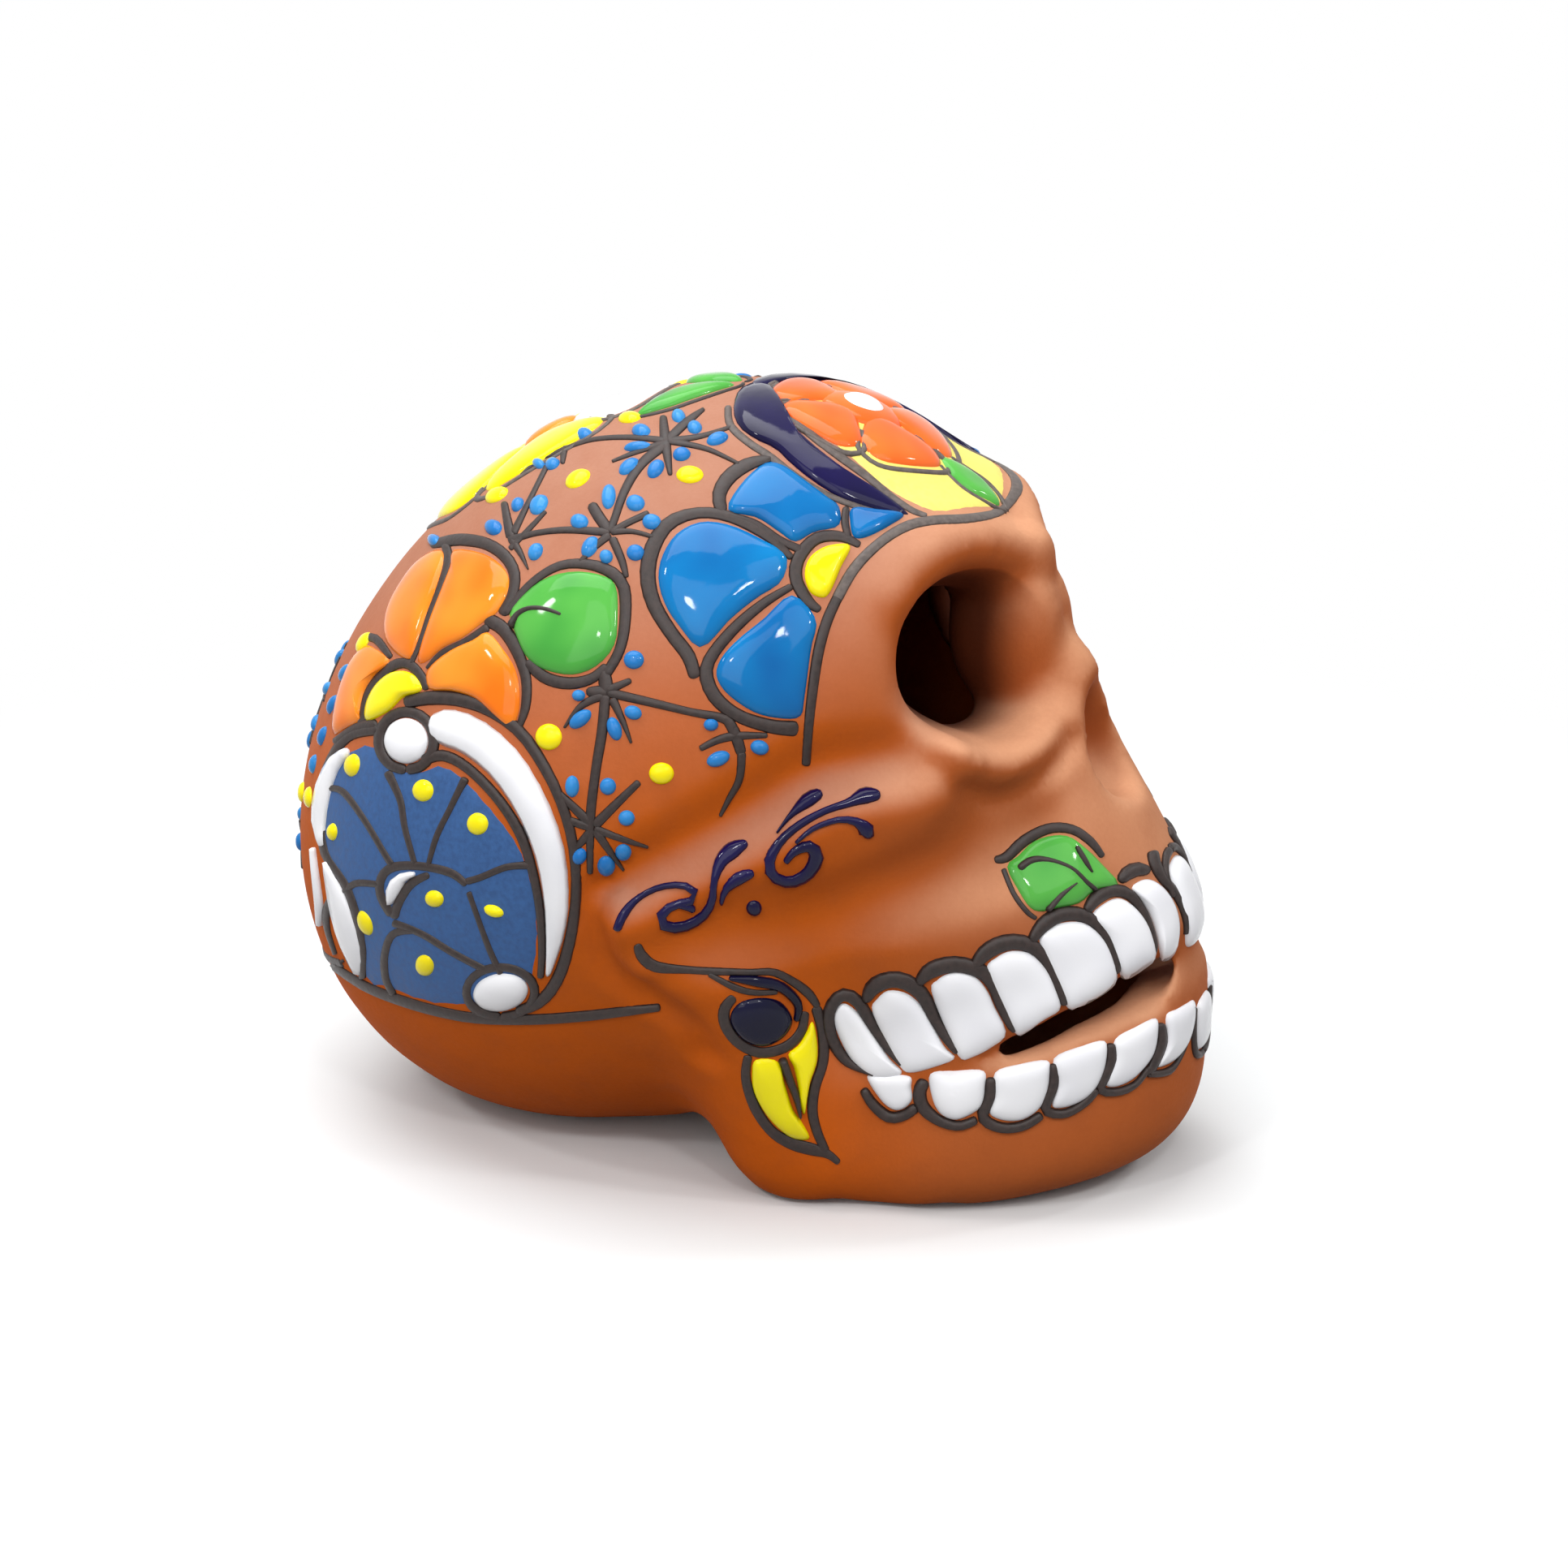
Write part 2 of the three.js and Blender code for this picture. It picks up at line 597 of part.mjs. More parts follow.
// The box that holds the clay, with a margin of one grid cell or more.
const MARGIN = 9;
const halfWidth = CRANIUM_HALF_WIDTH + MARGIN;
const frontY = ARCH_CENTRE_Y - Math.max(UPPER_ARCH_REACH, LOWER_ARCH_REACH) - MARGIN;
const backY = CRANIUM_CENTRE_Y + CRANIUM_HALF_LENGTH;
const topZ = CRANIUM_CENTRE_Z + CRANIUM_HALF_LENGTH + MARGIN;
const bottomZ = Math.min(0, CRANIUM_CENTRE_Z - CRANIUM_HALF_LENGTH) - 2 * MARGIN;

function clayGeometry() {
  const xs = mirroredLine(gridLine(0, halfWidth, 0, FINE_HALF_WIDTH, FACE_CELL, BACK_CELL));
  const ys = gridLine(frontY, backY, frontY, FINE_BACK_Y, FACE_CELL, BACK_CELL);
  const zs = gridLine(bottomZ, topZ, FINE_BOTTOM_Z, FINE_TOP_Z, FACE_CELL, BACK_CELL);
  const outside = solidOf(skin(clay, xs, ys, zs));

  const hollowLine = (lo, hi, from, to) => gridLine(lo, hi, from, to, HOLLOW_FINE_CELL, HOLLOW_CELL);
  const hollowXs = mirroredLine(hollowLine(0, halfWidth, 0, SOCKET_X + SOCKET_HALF_WIDTH));
  const hollowYs = hollowLine(frontY - HOLLOW_CELL, backY, SOCKET_Y, SOCKET_Y + SOCKET_DEPTH + WALL);
  const hollowZs = hollowLine(bottomZ, topZ, SOCKET_Z - SOCKET_HALF_HEIGHT, SOCKET_Z + SOCKET_HALF_HEIGHT);
  const inside = solidOf(skin(hollow, hollowXs, hollowYs, hollowZs));

  const ground = new THREE.BoxGeometry(4 * halfWidth, 4 * backY, 2 * topZ).translate(0, 0, -topZ);
  let body = outside.subtract(solidOf(ground)).subtract(inside);
  for (const side of [-1, 1]) body = body.subtract(solidOf(eyeHole(side)));
  const mesh = body.subtract(solidOf(mouthSlot())).subtract(solidOf(noseRecess())).getMesh();
  return geometryOf(mesh.vertProperties, [...mesh.triVerts]);
}

// An elliptical hole from the bowl of one eye socket into the hollow, nearer to the nose than the bowl.
function eyeHole(side) {
  const hole = new THREE.CylinderGeometry(1, 1, EYE_HOLE_LENGTH, HOLE_SIDES);
  hole.scale(EYE_HOLE_HALF_WIDTH, 1, EYE_HOLE_HALF_HEIGHT);
  hole.translate(0, -EYE_HOLE_LENGTH / 2, 0);
  const turn = Math.PI + side * SOCKET_TURN * DEGREE;
  const centre = socketCentre.clone().addScaledVector(socketAcross, -EYE_HOLE_INSET);
  return hole.rotateZ(turn).translate(side * centre.x, centre.y, centre.z - EYE_HOLE_DROP);
}

// A pear-shaped recess, narrow at the top.
function noseRecess() {
  const recess = new THREE.SphereGeometry(1, NOSE_SIDES, NOSE_RINGS).rotateX(Math.PI / 2);
  const spots = recess.attributes.position;
  for (let i = 0; i < spots.count; i++) spots.setX(i, spots.getX(i) * (1 - NOSE_TAPER * spots.getZ(i)));
  return recess.scale(NOSE_HALF_WIDTH, NOSE_DEPTH, NOSE_HALF_HEIGHT).translate(0, NOSE_Y, NOSE_Z);
}

// A wedge with a round front end, drawn from the side and pushed through both flanks.
function mouthSlot() {
  const biteEdge = (y) => BITE_HEIGHT + (ARCH_CENTRE_Y - y) * Math.tan(BITE_SLOPE * DEGREE);
  const outline = new THREE.Shape();
  const frontZ = biteEdge(SLOT_FRONT_Y) - SLOT_DROP;
  const slope = Math.PI - BITE_SLOPE * DEGREE;
  outline.absarc(SLOT_FRONT_Y, frontZ, SLOT_HALF_HEIGHT, slope - Math.PI / 2, slope + Math.PI / 2, false);
  outline.lineTo(SLOT_BACK_Y, biteEdge(SLOT_BACK_Y) - SLOT_DROP);
  outline.closePath();
  const through = { depth: 2 * halfWidth, bevelEnabled: false, curveSegments: SLOT_END_SIDES };
  const slot = new THREE.ExtrudeGeometry(outline, through);
  const sideways = new THREE.Matrix4().makeBasis(vector(0, 1, 0), vector(0, 0, 1), vector(1, 0, 0));
  return slot.applyMatrix4(sideways).translate(-halfWidth, 0, 0);
}

// Walks from a point along a direction to the clay.
function reachClay(start, direction) {
  const p = start.clone();
  for (let pass = 0; pass < WALK_PASSES; pass++) {
    p.addScaledVector(direction, WALK_SHARE * clay(p.x, p.y, p.z));
  }
  return p;
}

// A seat on the clay: its origin, the way out, and two ways along it, back and up on the right side.
function seatAt(start, direction, upward) {
  const origin = reachClay(start, direction);
  const out = gradient(clay, origin).normalize();
  const up = upward.clone().addScaledVector(out, -upward.dot(out)).normalize();
  const back = out.clone().cross(up);
  return { origin, out, up, back };
}

function sideSeat(y, z) {
  return seatAt(vector(-halfWidth, y, z), vector(1, 0, 0), vector(0, 0, 1));
}

function topSeat(y) {
  return seatAt(vector(0, y, topZ), vector(0, 0, -1), vector(0, 1, 0));
}

// A point of glaze over a place on a seat, at a height above its clearance from the clay.
function glazePoint(seat, back, up, height) {
  const p = seat.origin.clone().addScaledVector(seat.back, back).addScaledVector(seat.up, up);
  const onClay = reachClay(p.addScaledVector(seat.out, WALL), seat.out.clone().negate());
  return onClay.addScaledVector(gradient(clay, onClay).normalize(), GLAZE_CLEARANCE + height);
}

const ACROSS = [-1, -SHOULDER, 0, SHOULDER, 1];

// A place on a strip along a spine, from -1 to 1 across it.
function stripSpot(spine, halfWidthAt, t, side) {
  const ahead = spine(t + STEP).sub(spine(t - STEP)).normalize();
  const width = side * halfWidthAt(t);
  return spine(t).add(new THREE.Vector2(-ahead.y * width, ahead.x * width));
}

// A pool of glaze on a seat: a crowned strip along a spine, closed underneath.
function poolGeometry(seat, spine, halfWidthAt, crown, stations) {
  const points = [];
  const place = (t, side, height) => {
    const spot = stripSpot(spine, halfWidthAt, t, side);
    points.push(...glazePoint(seat, spot.x, spot.y, height));
    return points.length / 3 - 1;
  };
  const crownAt = (t, side) => {
    const swell = (1 - Math.abs(side) ** CROWN_ACROSS_POWER) * (1 - Math.abs(2 * t - 1) ** CROWN_ALONG_POWER);
    return GLAZE_EDGE + (crown - GLAZE_EDGE) * swell;
  };
  const tops = [];
  const bottoms = [];
  for (let i = 1; i < stations; i++) {
    const t = (1 - Math.cos((Math.PI * i) / stations)) / 2;
    tops.push(ACROSS.map((side) => place(t, side, crownAt(t, side))));
    bottoms.push([-1, 0, 1].map((side) => place(t, side, 0)));
  }
  const tips = [0, 1].map((t) => ({ top: place(t, 0, GLAZE_EDGE), bottom: place(t, 0, 0) }));
  const index = [];
  const strip = (a, b) => {
    for (let i = 0; i + 1 < a.length; i++) index.push(a[i], b[i], a[i + 1], a[i + 1], b[i], b[i + 1]);
  };
  const fan = (tip, row) => {
    for (let i = 0; i + 1 < row.length; i++) index.push(tip, row[i], row[i + 1]);
  };
  for (let i = 0; i + 1 < tops.length; i++) {
    strip(tops[i + 1], tops[i]);
    strip(bottoms[i], bottoms[i + 1]);
  }
  const last = tops.length - 1;
  fan(tips[0].top, [...tops[0]].reverse());
  fan(tips[0].bottom, bottoms[0]);
  fan(tips[1].top, tops[last]);
  fan(tips[1].bottom, [...bottoms[last]].reverse());
  const leftTop = [tips[0].top, ...tops.map((row) => row[0]), tips[1].top];
  const leftBottom = [tips[0].bottom, ...bottoms.map((row) => row[0]), tips[1].bottom];
  const rightTop = [tips[0].top, ...tops.map((row) => row[ACROSS.length - 1]), tips[1].top];
  const rightBottom = [tips[0].bottom, ...bottoms.map((row) => row[2]), tips[1].bottom];
  strip(leftBottom, leftTop);
  strip(rightTop, rightBottom);
  return geometryOf(points, index);
}

// A flower poured as one pool on a seat, with a lobe for each petal.
function rosetteGeometry(seat, radius, petals, crown) {
  const points = [];
  const place = (back, up, height) => {
    points.push(...glazePoint(seat, back, up, height));
    return points.length / 3 - 1;
  };
  const sides = petals * ROSETTE_PETAL_SIDES;
  const ring = (share, height) => Array.from({ length: sides }, (_, i) => {
    const turn = (2 * Math.PI * i) / sides;
    const reach = share * radius * (1 - ROSETTE_NOTCH * (1 - Math.abs(Math.cos((petals * turn) / 2))));
    return place(-reach * Math.sin(turn), reach * Math.cos(turn), height);
  });
  const top = place(0, 0, crown);
  const shoulder = ring(SHOULDER, crown);
  const rim = ring(1, GLAZE_EDGE);
  const foot = ring(1, 0);
  const bottom = place(0, 0, 0);
  const index = [];
  for (let i = 0; i < sides; i++) {
    const next = (i + 1) % sides;
    index.push(top, shoulder[next], shoulder[i], bottom, foot[i], foot[next]);
    for (const [inner, outer] of [[shoulder, rim], [rim, foot]]) {
      index.push(inner[i], inner[next], outer[next], inner[i], outer[next], outer[i]);
    }
  }
  return geometryOf(points, index);
}

// Spines: a straight one by angle, and an arc.
function straightSpine(angle, start, length) {
  const along = new THREE.Vector2(Math.cos(angle * DEGREE), Math.sin(angle * DEGREE));
  return (t) => along.clone().multiplyScalar(start + t * length);
}

function arcSpine(radius, from, to) {
  return (t) => {
    const angle = (from + t * (to - from)) * DEGREE;
    return new THREE.Vector2(Math.cos(angle), Math.sin(angle)).multiplyScalar(radius);
  };
}

// Outlines: how the half width runs along the spine.
const roundOutline = (width, power) => (t) => (width / 2) * (1 - Math.abs(2 * t - 1) ** power) ** (1 / power);
const petalOutline = (start, length, spread) => (t) => {
  const sector = (start + t * length) * Math.tan((spread / 2) * DEGREE) - OUTLINE_WIDTH / 2;
  return sector * Math.sqrt(1 - Math.max(0, (t - PETAL_SHOULDER) / (1 - PETAL_SHOULDER)) ** 2);
};
const leafOutline = (width) => (t) => (width / 2) * Math.sin(Math.PI * t ** LEAF_POWER) ** LEAF_POWER;
const crescentOutline = (width) => (t) => (width / 2) * Math.sin(Math.PI * t) ** CRESCENT_POWER;
const bandOutline = (width) => (t) => roundOutline(width, ROUND_POWER)(t) * (1 - BAND_TAPER * t);

const part = new THREE.Group();

function addPiece(name, geometry, material) {
  const mesh = new THREE.Mesh(geometry, material);
  mesh.name = name;
  part.add(mesh);
}

// The mirror image of a right-hand piece.
function mirrored(geometry) {
  const points = [...geometry.attributes.position.array].map((value, i) => (i % 3 === 0 ? -value : value));
  const index = [...geometry.index.array].reverse();
  return geometryOf(points, index);
}

function addPair(name, geometry, material) {
  addPiece(`${name}_right`, geometry, material);
  addPiece(`${name}_left`, mirrored(geometry), material);
}

// Angle on an ellipse at a given distance along it from its front end.
function archAngle(halfWide, reach, distance) {
  let angle = 0;
  for (let gone = 0; gone < distance;) {
    const dAngle = Math.PI / ARCH_STEPS;
    gone += dAngle * Math.hypot(halfWide * Math.cos(angle), reach * Math.sin(angle));
    angle += dAngle;
  }
  return angle;
}

function upperToothSeat(distance) {
  const angle = archAngle(UPPER_ARCH_HALF_WIDTH, UPPER_ARCH_REACH, distance);
  const rise = UPPER_TOOTH_FOOT + UPPER_TOOTH_HEIGHT / 2;
  const tilt = (run, height) => vector(0, run * biteCos + height * biteSin, height * biteCos - run * biteSin);
  const aim = vector(-Math.sin(angle) / UPPER_ARCH_HALF_WIDTH, 0, 0)
    .add(tilt(-Math.cos(angle) / UPPER_ARCH_REACH, 0)).normalize();
  const spot = vector(-UPPER_ARCH_HALF_WIDTH * Math.sin(angle), ARCH_CENTRE_Y, BITE_HEIGHT)
    .add(tilt(-UPPER_ARCH_REACH * Math.cos(angle), rise));
  return seatAt(spot.addScaledVector(aim, MARGIN), aim.negate(), tilt(0, 1));
}

function lowerToothSeat(distance) {
  const angle = archAngle(LOWER_ARCH_HALF_WIDTH, LOWER_ARCH_REACH, distance);
  const front = LOWER_ARCH_REACH * Math.cos(angle);
  const top = LOWER_ROW_HEIGHT + front * Math.tan(LOWER_ROW_SLOPE * DEGREE);
  const side = -Math.sin(angle);
  const middle = top - LOWER_TOOTH_HEIGHT / 2;
  const spot = vector(LOWER_ARCH_HALF_WIDTH * side, ARCH_CENTRE_Y - front, middle);
  const aim = vector(side / LOWER_ARCH_HALF_WIDTH, -Math.cos(angle) / LOWER_ARCH_REACH, 0).normalize();
  return seatAt(spot.addScaledVector(aim, MARGIN), aim.negate(), vector(0, 0, 1));
}

function addTeeth() {
  const tooth = (seat, height, pitch) => {
    const spine = straightSpine(90, -height / 2, height);
    const outline = roundOutline(pitch - TOOTH_GAP, TOOTH_POWER);
    return poolGeometry(seat, spine, outline, TOOTH_CROWN, TOOTH_STATIONS);
  };
  const upper = (distance) => tooth(upperToothSeat(distance), UPPER_TOOTH_HEIGHT, UPPER_TOOTH_PITCH);
  const lower = (distance) => tooth(lowerToothSeat(distance), LOWER_TOOTH_HEIGHT, LOWER_TOOTH_PITCH);
  addPiece("upper_tooth_middle", upper(0), WHITE_GLAZE);
  for (let i = 1; i <= UPPER_TEETH; i++) {
    addPair(`upper_tooth_${i}`, upper(i * UPPER_TOOTH_PITCH), WHITE_GLAZE);
  }
  for (let i = 1; i <= LOWER_TEETH; i++) {
    addPair(`lower_tooth_${i}`, lower((i - 0.5) * LOWER_TOOTH_PITCH), WHITE_GLAZE);
  }
}

function addPool(name, seat, spine, outline, material) {
  addPair(name, poolGeometry(seat, spine, outline, GLAZE_CROWN, POOL_STATIONS), material);
}

function addDisc(name, seat, diameter, material) {
  const spine = straightSpine(90, -diameter / 2, diameter);
  addPool(name, seat, spine, roundOutline(diameter, ROUND_POWER), material);
}

const blueSeat = sideSeat(BLUE_FLOWER_Y, BLUE_FLOWER_Z);
const blueTopSpine = straightSpine(BLUE_TOP_ANGLE, BLUE_PETAL_START, BLUE_TOP_LENGTH);
const blueTopOutline = petalOutline(BLUE_PETAL_START, BLUE_TOP_LENGTH, BLUE_TOP_SPREAD);

function addBlueFlower() {
  const petal = (name, angle, length, spread) => {
    const spine = straightSpine(angle, BLUE_PETAL_START, length);
    const outline = petalOutline(BLUE_PETAL_START, length, spread);
    addPool(`blue_petal_${name}`, blueSeat, spine, outline, BLUE_GLAZE);
  };
  petal("back", BLUE_BACK_ANGLE, BLUE_BACK_LENGTH, BLUE_BACK_SPREAD);
  addPool("blue_petal_top", blueSeat, blueTopSpine, blueTopOutline, BLUE_GLAZE);
  petal("foot", BLUE_FOOT_ANGLE, BLUE_FOOT_LENGTH, BLUE_FOOT_SPREAD);
  addDisc("blue_flower_centre", blueSeat, BLUE_CENTRE_DIAMETER, YELLOW_GLAZE);
}

function addOrangeFlower() {
  const seat = sideSeat(ORANGE_FLOWER_Y, ORANGE_FLOWER_Z);
  for (let i = 0; i < ORANGE_PETALS; i++) {
    const angle = ORANGE_FIRST_ANGLE + i * ORANGE_PETAL_STEP;
    const spine = straightSpine(angle, ORANGE_PETAL_START, ORANGE_PETAL_LENGTH);
    const outline = petalOutline(ORANGE_PETAL_START, ORANGE_PETAL_LENGTH, ORANGE_PETAL_STEP);
    addPool(`orange_petal_${i + 1}`, seat, spine, outline, ORANGE_GLAZE);
  }
  addDisc("orange_flower_centre", seat, ORANGE_CENTRE_DIAMETER, YELLOW_GLAZE);
}

function addLeaf(name, seat, angle, length, width, material) {
  addPool(name, seat, straightSpine(angle, -length / 2, length), leafOutline(width), material);
}

function addLeaves() {
  const temple = sideSeat(TEMPLE_LEAF_Y, TEMPLE_LEAF_Z);
  addLeaf("temple_leaf", temple, TEMPLE_LEAF_ANGLE, TEMPLE_LEAF_LENGTH, TEMPLE_LEAF_WIDTH, GREEN_GLAZE);
  const jaw = sideSeat(JAW_LEAF_Y, JAW_LEAF_Z);
  addLeaf("jaw_leaf", jaw, JAW_LEAF_ANGLE, JAW_LEAF_LENGTH, JAW_LEAF_WIDTH, YELLOW_GLAZE);
  const lip = sideSeat(LIP_LEAF_Y, LIP_LEAF_Z);
  addLeaf("lip_leaf", lip, LIP_LEAF_ANGLE, LIP_LEAF_LENGTH, LIP_LEAF_WIDTH, GREEN_GLAZE);
}

function addMedallion() {
  const medallion = sideSeat(MEDALLION_Y, MEDALLION_Z);
  const crescent = arcSpine(CRESCENT_RADIUS, CRESCENT_START, CRESCENT_END);
  addPool("medallion_crescent", medallion, crescent, crescentOutline(CRESCENT_WIDTH), WHITE_GLAZE);
  addDisc("medallion_bead", sideSeat(BEAD_Y, BEAD_Z), BEAD_DIAMETER, WHITE_GLAZE);
}

// The radius at which the band keeps clear of the blue petal that points at it.
function bandRadius(forehead, outline) {
  let radius = Infinity;
  for (let i = 0; i <= POOL_STATIONS; i++) {
    for (const side of ACROSS) {
      const spot = stripSpot(blueTopSpine, blueTopOutline, i / POOL_STATIONS, side);
      const away = glazePoint(blueSeat, spot.x, spot.y, 0).sub(forehead.origin);
      const across = new THREE.Vector2(away.dot(forehead.back), away.dot(forehead.up));
      const bearing = Math.atan2(across.y, across.x) / DEGREE;
      const t = THREE.MathUtils.inverseLerp(BAND_START, BAND_END, bearing);
      const bandHalf = outline(THREE.MathUtils.clamp(t, 0, 1));
      radius = Math.min(radius, across.length() - bandHalf - BAND_CLEARANCE);
    }
  }
  return radius;
}

function addForehead() {
  const forehead = topSeat(FOREHEAD_Y);
  const outline = bandOutline(BAND_WIDTH);
  const radius = bandRadius(forehead, outline);
  const band = arcSpine(radius, BAND_START, BAND_END);
  addPool("forehead_band", forehead, band, outline, COBALT_GLAZE);
  const middle = topSeat(FOREHEAD_Y + FOREHEAD_FLOWER_BACK_SHARE * radius);
  const flower = rosetteGeometry(middle, FOREHEAD_FLOWER_SHARE * radius, FOREHEAD_PETALS, GLAZE_CROWN);
  addPiece("forehead_flower", flower, ORANGE_GLAZE);
  const vein = straightSpine(-90, -FOREHEAD_LEAF_LENGTH / 2, FOREHEAD_LEAF_LENGTH);
  const blade = leafOutline(FOREHEAD_LEAF_WIDTH);
  const leaf = poolGeometry(topSeat(FOREHEAD_LEAF_Y), vein, blade, GLAZE_CROWN, POOL_STATIONS);
  addPiece("forehead_leaf", leaf, GREEN_GLAZE);
}

addPiece("clay_skull", clayGeometry(), TERRACOTTA);
addTeeth();
addBlueFlower();
addOrangeFlower();
addLeaves();
addMedallion();
addForehead();

// The middle of the whole length lies over the origin.
const bounds = new THREE.Box3().setFromObject(part);
const middleY = (bounds.min.y + bounds.max.y) / 2;
for (const piece of part.children) piece.geometry.translate(0, -middleY, 0);

export default part;
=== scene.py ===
# %% [markdown]
# A painted clay skull. The real one is cast in terracotta, left matt, and decorated with raised
# pools of shiny enamel between dark brush lines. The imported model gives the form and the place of
# every tooth and petal. This script dresses that form: a smooth clay skin first, and then each
# pool, dot and stroke laid on it.

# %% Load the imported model
import math

import bmesh
import bpy
import numpy as np
from mathutils import Color, Matrix, Vector
from mathutils.bvhtree import BVHTree


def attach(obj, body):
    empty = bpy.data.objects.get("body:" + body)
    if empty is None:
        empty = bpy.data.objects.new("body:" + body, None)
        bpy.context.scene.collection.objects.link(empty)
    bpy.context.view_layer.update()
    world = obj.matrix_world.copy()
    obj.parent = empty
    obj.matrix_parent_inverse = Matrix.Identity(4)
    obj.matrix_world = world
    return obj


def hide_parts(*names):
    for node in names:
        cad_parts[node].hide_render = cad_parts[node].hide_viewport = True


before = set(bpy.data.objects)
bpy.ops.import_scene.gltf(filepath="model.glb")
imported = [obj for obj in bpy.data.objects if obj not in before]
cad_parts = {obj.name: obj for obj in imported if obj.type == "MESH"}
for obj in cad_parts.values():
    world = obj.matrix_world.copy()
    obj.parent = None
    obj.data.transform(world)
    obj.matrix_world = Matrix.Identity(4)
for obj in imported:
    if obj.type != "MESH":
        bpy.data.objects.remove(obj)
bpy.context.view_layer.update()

MM = 0.001

# %% [markdown]
# The camera comes first, because most of the painting is placed through it. A brush mark is read
# off the photograph as a pixel, and a ray through that pixel finds the same spot on the clay.
# Matching turn, rise and focal length to the outline of the skull makes the two agree, and it
# needs no picture inside the file.

# %% The photograph's camera
IMAGE_SIDE = 1932
FOCAL_PIXELS = 4484
SENSOR_WIDTH = 36
AIM = Vector((0, 1.48, 70)) * MM
AIM_PIXEL = (925, 980)
CAMERA_TURN = math.radians(-70)
CAMERA_RISE = math.radians(19)
CAMERA_DISTANCE = 760 * MM
scene = bpy.context.scene


def direction(turn, rise):
    """The way from the skull to something that is turned from straight ahead and raised."""
    flat = math.cos(rise)
    return Vector((math.sin(turn) * flat, -math.cos(turn) * flat, math.sin(rise)))


def facing(way):
    """The rotation of a camera or lamp that looks along a way."""
    return way.to_track_quat("-Z", "Y")


def set_up(made, place, rotation):
    made.location = place
    made.rotation_mode = "QUATERNION"
    made.rotation_quaternion = rotation
    scene.collection.objects.link(made)


towards_eye = direction(CAMERA_TURN, CAMERA_RISE)
eye = AIM + CAMERA_DISTANCE * towards_eye
looking = facing(-towards_eye)
camera_data = bpy.data.cameras.new("photograph_camera")
camera_data.sensor_width = SENSOR_WIDTH
camera_data.lens = SENSOR_WIDTH * FOCAL_PIXELS / IMAGE_SIDE
camera_data.shift_x = (IMAGE_SIDE / 2 - AIM_PIXEL[0]) / IMAGE_SIDE
camera_data.shift_y = (AIM_PIXEL[1] - IMAGE_SIDE / 2) / IMAGE_SIDE
scene.camera = bpy.data.objects.new("photograph_camera", camera_data)
set_up(scene.camera, eye, looking)
print("camera lens, mm:", round(camera_data.lens, 1))

# %% [markdown]
# Every finish below is a small sum of noise patterns. Writing those sums with plus and times signs
# keeps them readable, so one class wraps a node's output and adds a Math node for each sign, with
# the number on either side of it. Any other node comes from one function that takes its kind, its
# settings and its inputs.

# %% Shader sums
class Shade:
    """An output of a shader node that can stand in a sum."""

    def __init__(self, tree, socket):
        self.tree = tree
        self.socket = socket

    def math(self, operation, first, second):
        return node(self.tree, "ShaderNodeMath", {"operation": operation}, {0: first, 1: second})

    def __add__(self, other):
        return self.math("ADD", self, other)

    def __sub__(self, other):
        return self.math("SUBTRACT", self, other)

    def __rsub__(self, other):
        return self.math("SUBTRACT", other, self)

    def __mul__(self, other):
        return self.math("MULTIPLY", self, other)

    def __truediv__(self, other):
        return self.math("DIVIDE", self, other)

    def __rtruediv__(self, other):
        return self.math("DIVIDE", other, self)

    __radd__ = __add__
    __rmul__ = __mul__


def node(tree, kind, settings, inputs, output=0):
    made = tree.nodes.new(kind)
    for name, value in settings.items():
        setattr(made, name, value)
    for key, value in inputs.items():
        if isinstance(value, Shade):
            tree.links.new(value.socket, made.inputs[key])
        else:
            made.inputs[key].default_value = value
    return Shade(tree, made.outputs[output])


print("shader nodes can be summed")

# %% [markdown]
# Some nodes come back in every finish: a noise measured in metres, a step between two values, a
# mix of two colours. With a function for each, a recipe reads as a list of what the eye sees.

# %% Parts of a finish
# The Mix node has sockets for every kind of data; these are the numbers of those for colour
MIX_FACTOR = 0
MIX_FIRST = 6
MIX_SECOND = 7
MIX_RESULT = 2
SCREEN_WHITE = 255


def mix(tree, share, first, second):
    inputs = {MIX_FACTOR: share, MIX_FIRST: first, MIX_SECOND: second}
    return node(tree, "ShaderNodeMix", {"data_type": "RGBA"}, inputs, MIX_RESULT)


def on_object(tree):
    return node(tree, "ShaderNodeTexCoord", {}, {}, "Object")


def axis(tree, name):
    """One coordinate of the place on the object."""
    return node(tree, "ShaderNodeSeparateXYZ", {}, {"Vector": on_object(tree)}, name)


def noise(tree, size, detail):
    """A noise whose patches are about size metres across."""
    inputs = {"Vector": on_object(tree), "Scale": 1 / size, "Detail": detail}
    return node(tree, "ShaderNodeTexNoise", {}, inputs, "Fac")


def fade(tree, value, start, end, kind="SMOOTHSTEP"):
    """A share that rises from 0 to 1 while the value goes from start to end."""
    inputs = {"Value": value, "From Min": start, "From Max": end}
    return node(tree, "ShaderNodeMapRange", {"interpolation_type": kind}, inputs, "Result")


def patches(tree, spread, reach):
    """Noise of a size and detail, cleared into patches between two of its values."""
    return fade(tree, noise(tree, *spread), *reach, "LINEAR")


def painted(colour):
    """A screen colour, 0 to 255, as the linear colour that a shader takes."""
    screen = Color([part / SCREEN_WHITE for part in colour])
    return (*screen.from_srgb_to_scene_linear(), 1)


def new_finish(name, constants):
    material = bpy.data.materials.new(name)
    material.use_nodes = True
    tree = material.node_tree
    surface = tree.nodes["Principled BSDF"]
    for socket, value in constants.items():
        surface.inputs[socket].default_value = value
    return material, tree, surface


def feed(tree, surface, socket, shade):
    tree.links.new(shade.socket, surface.inputs[socket])


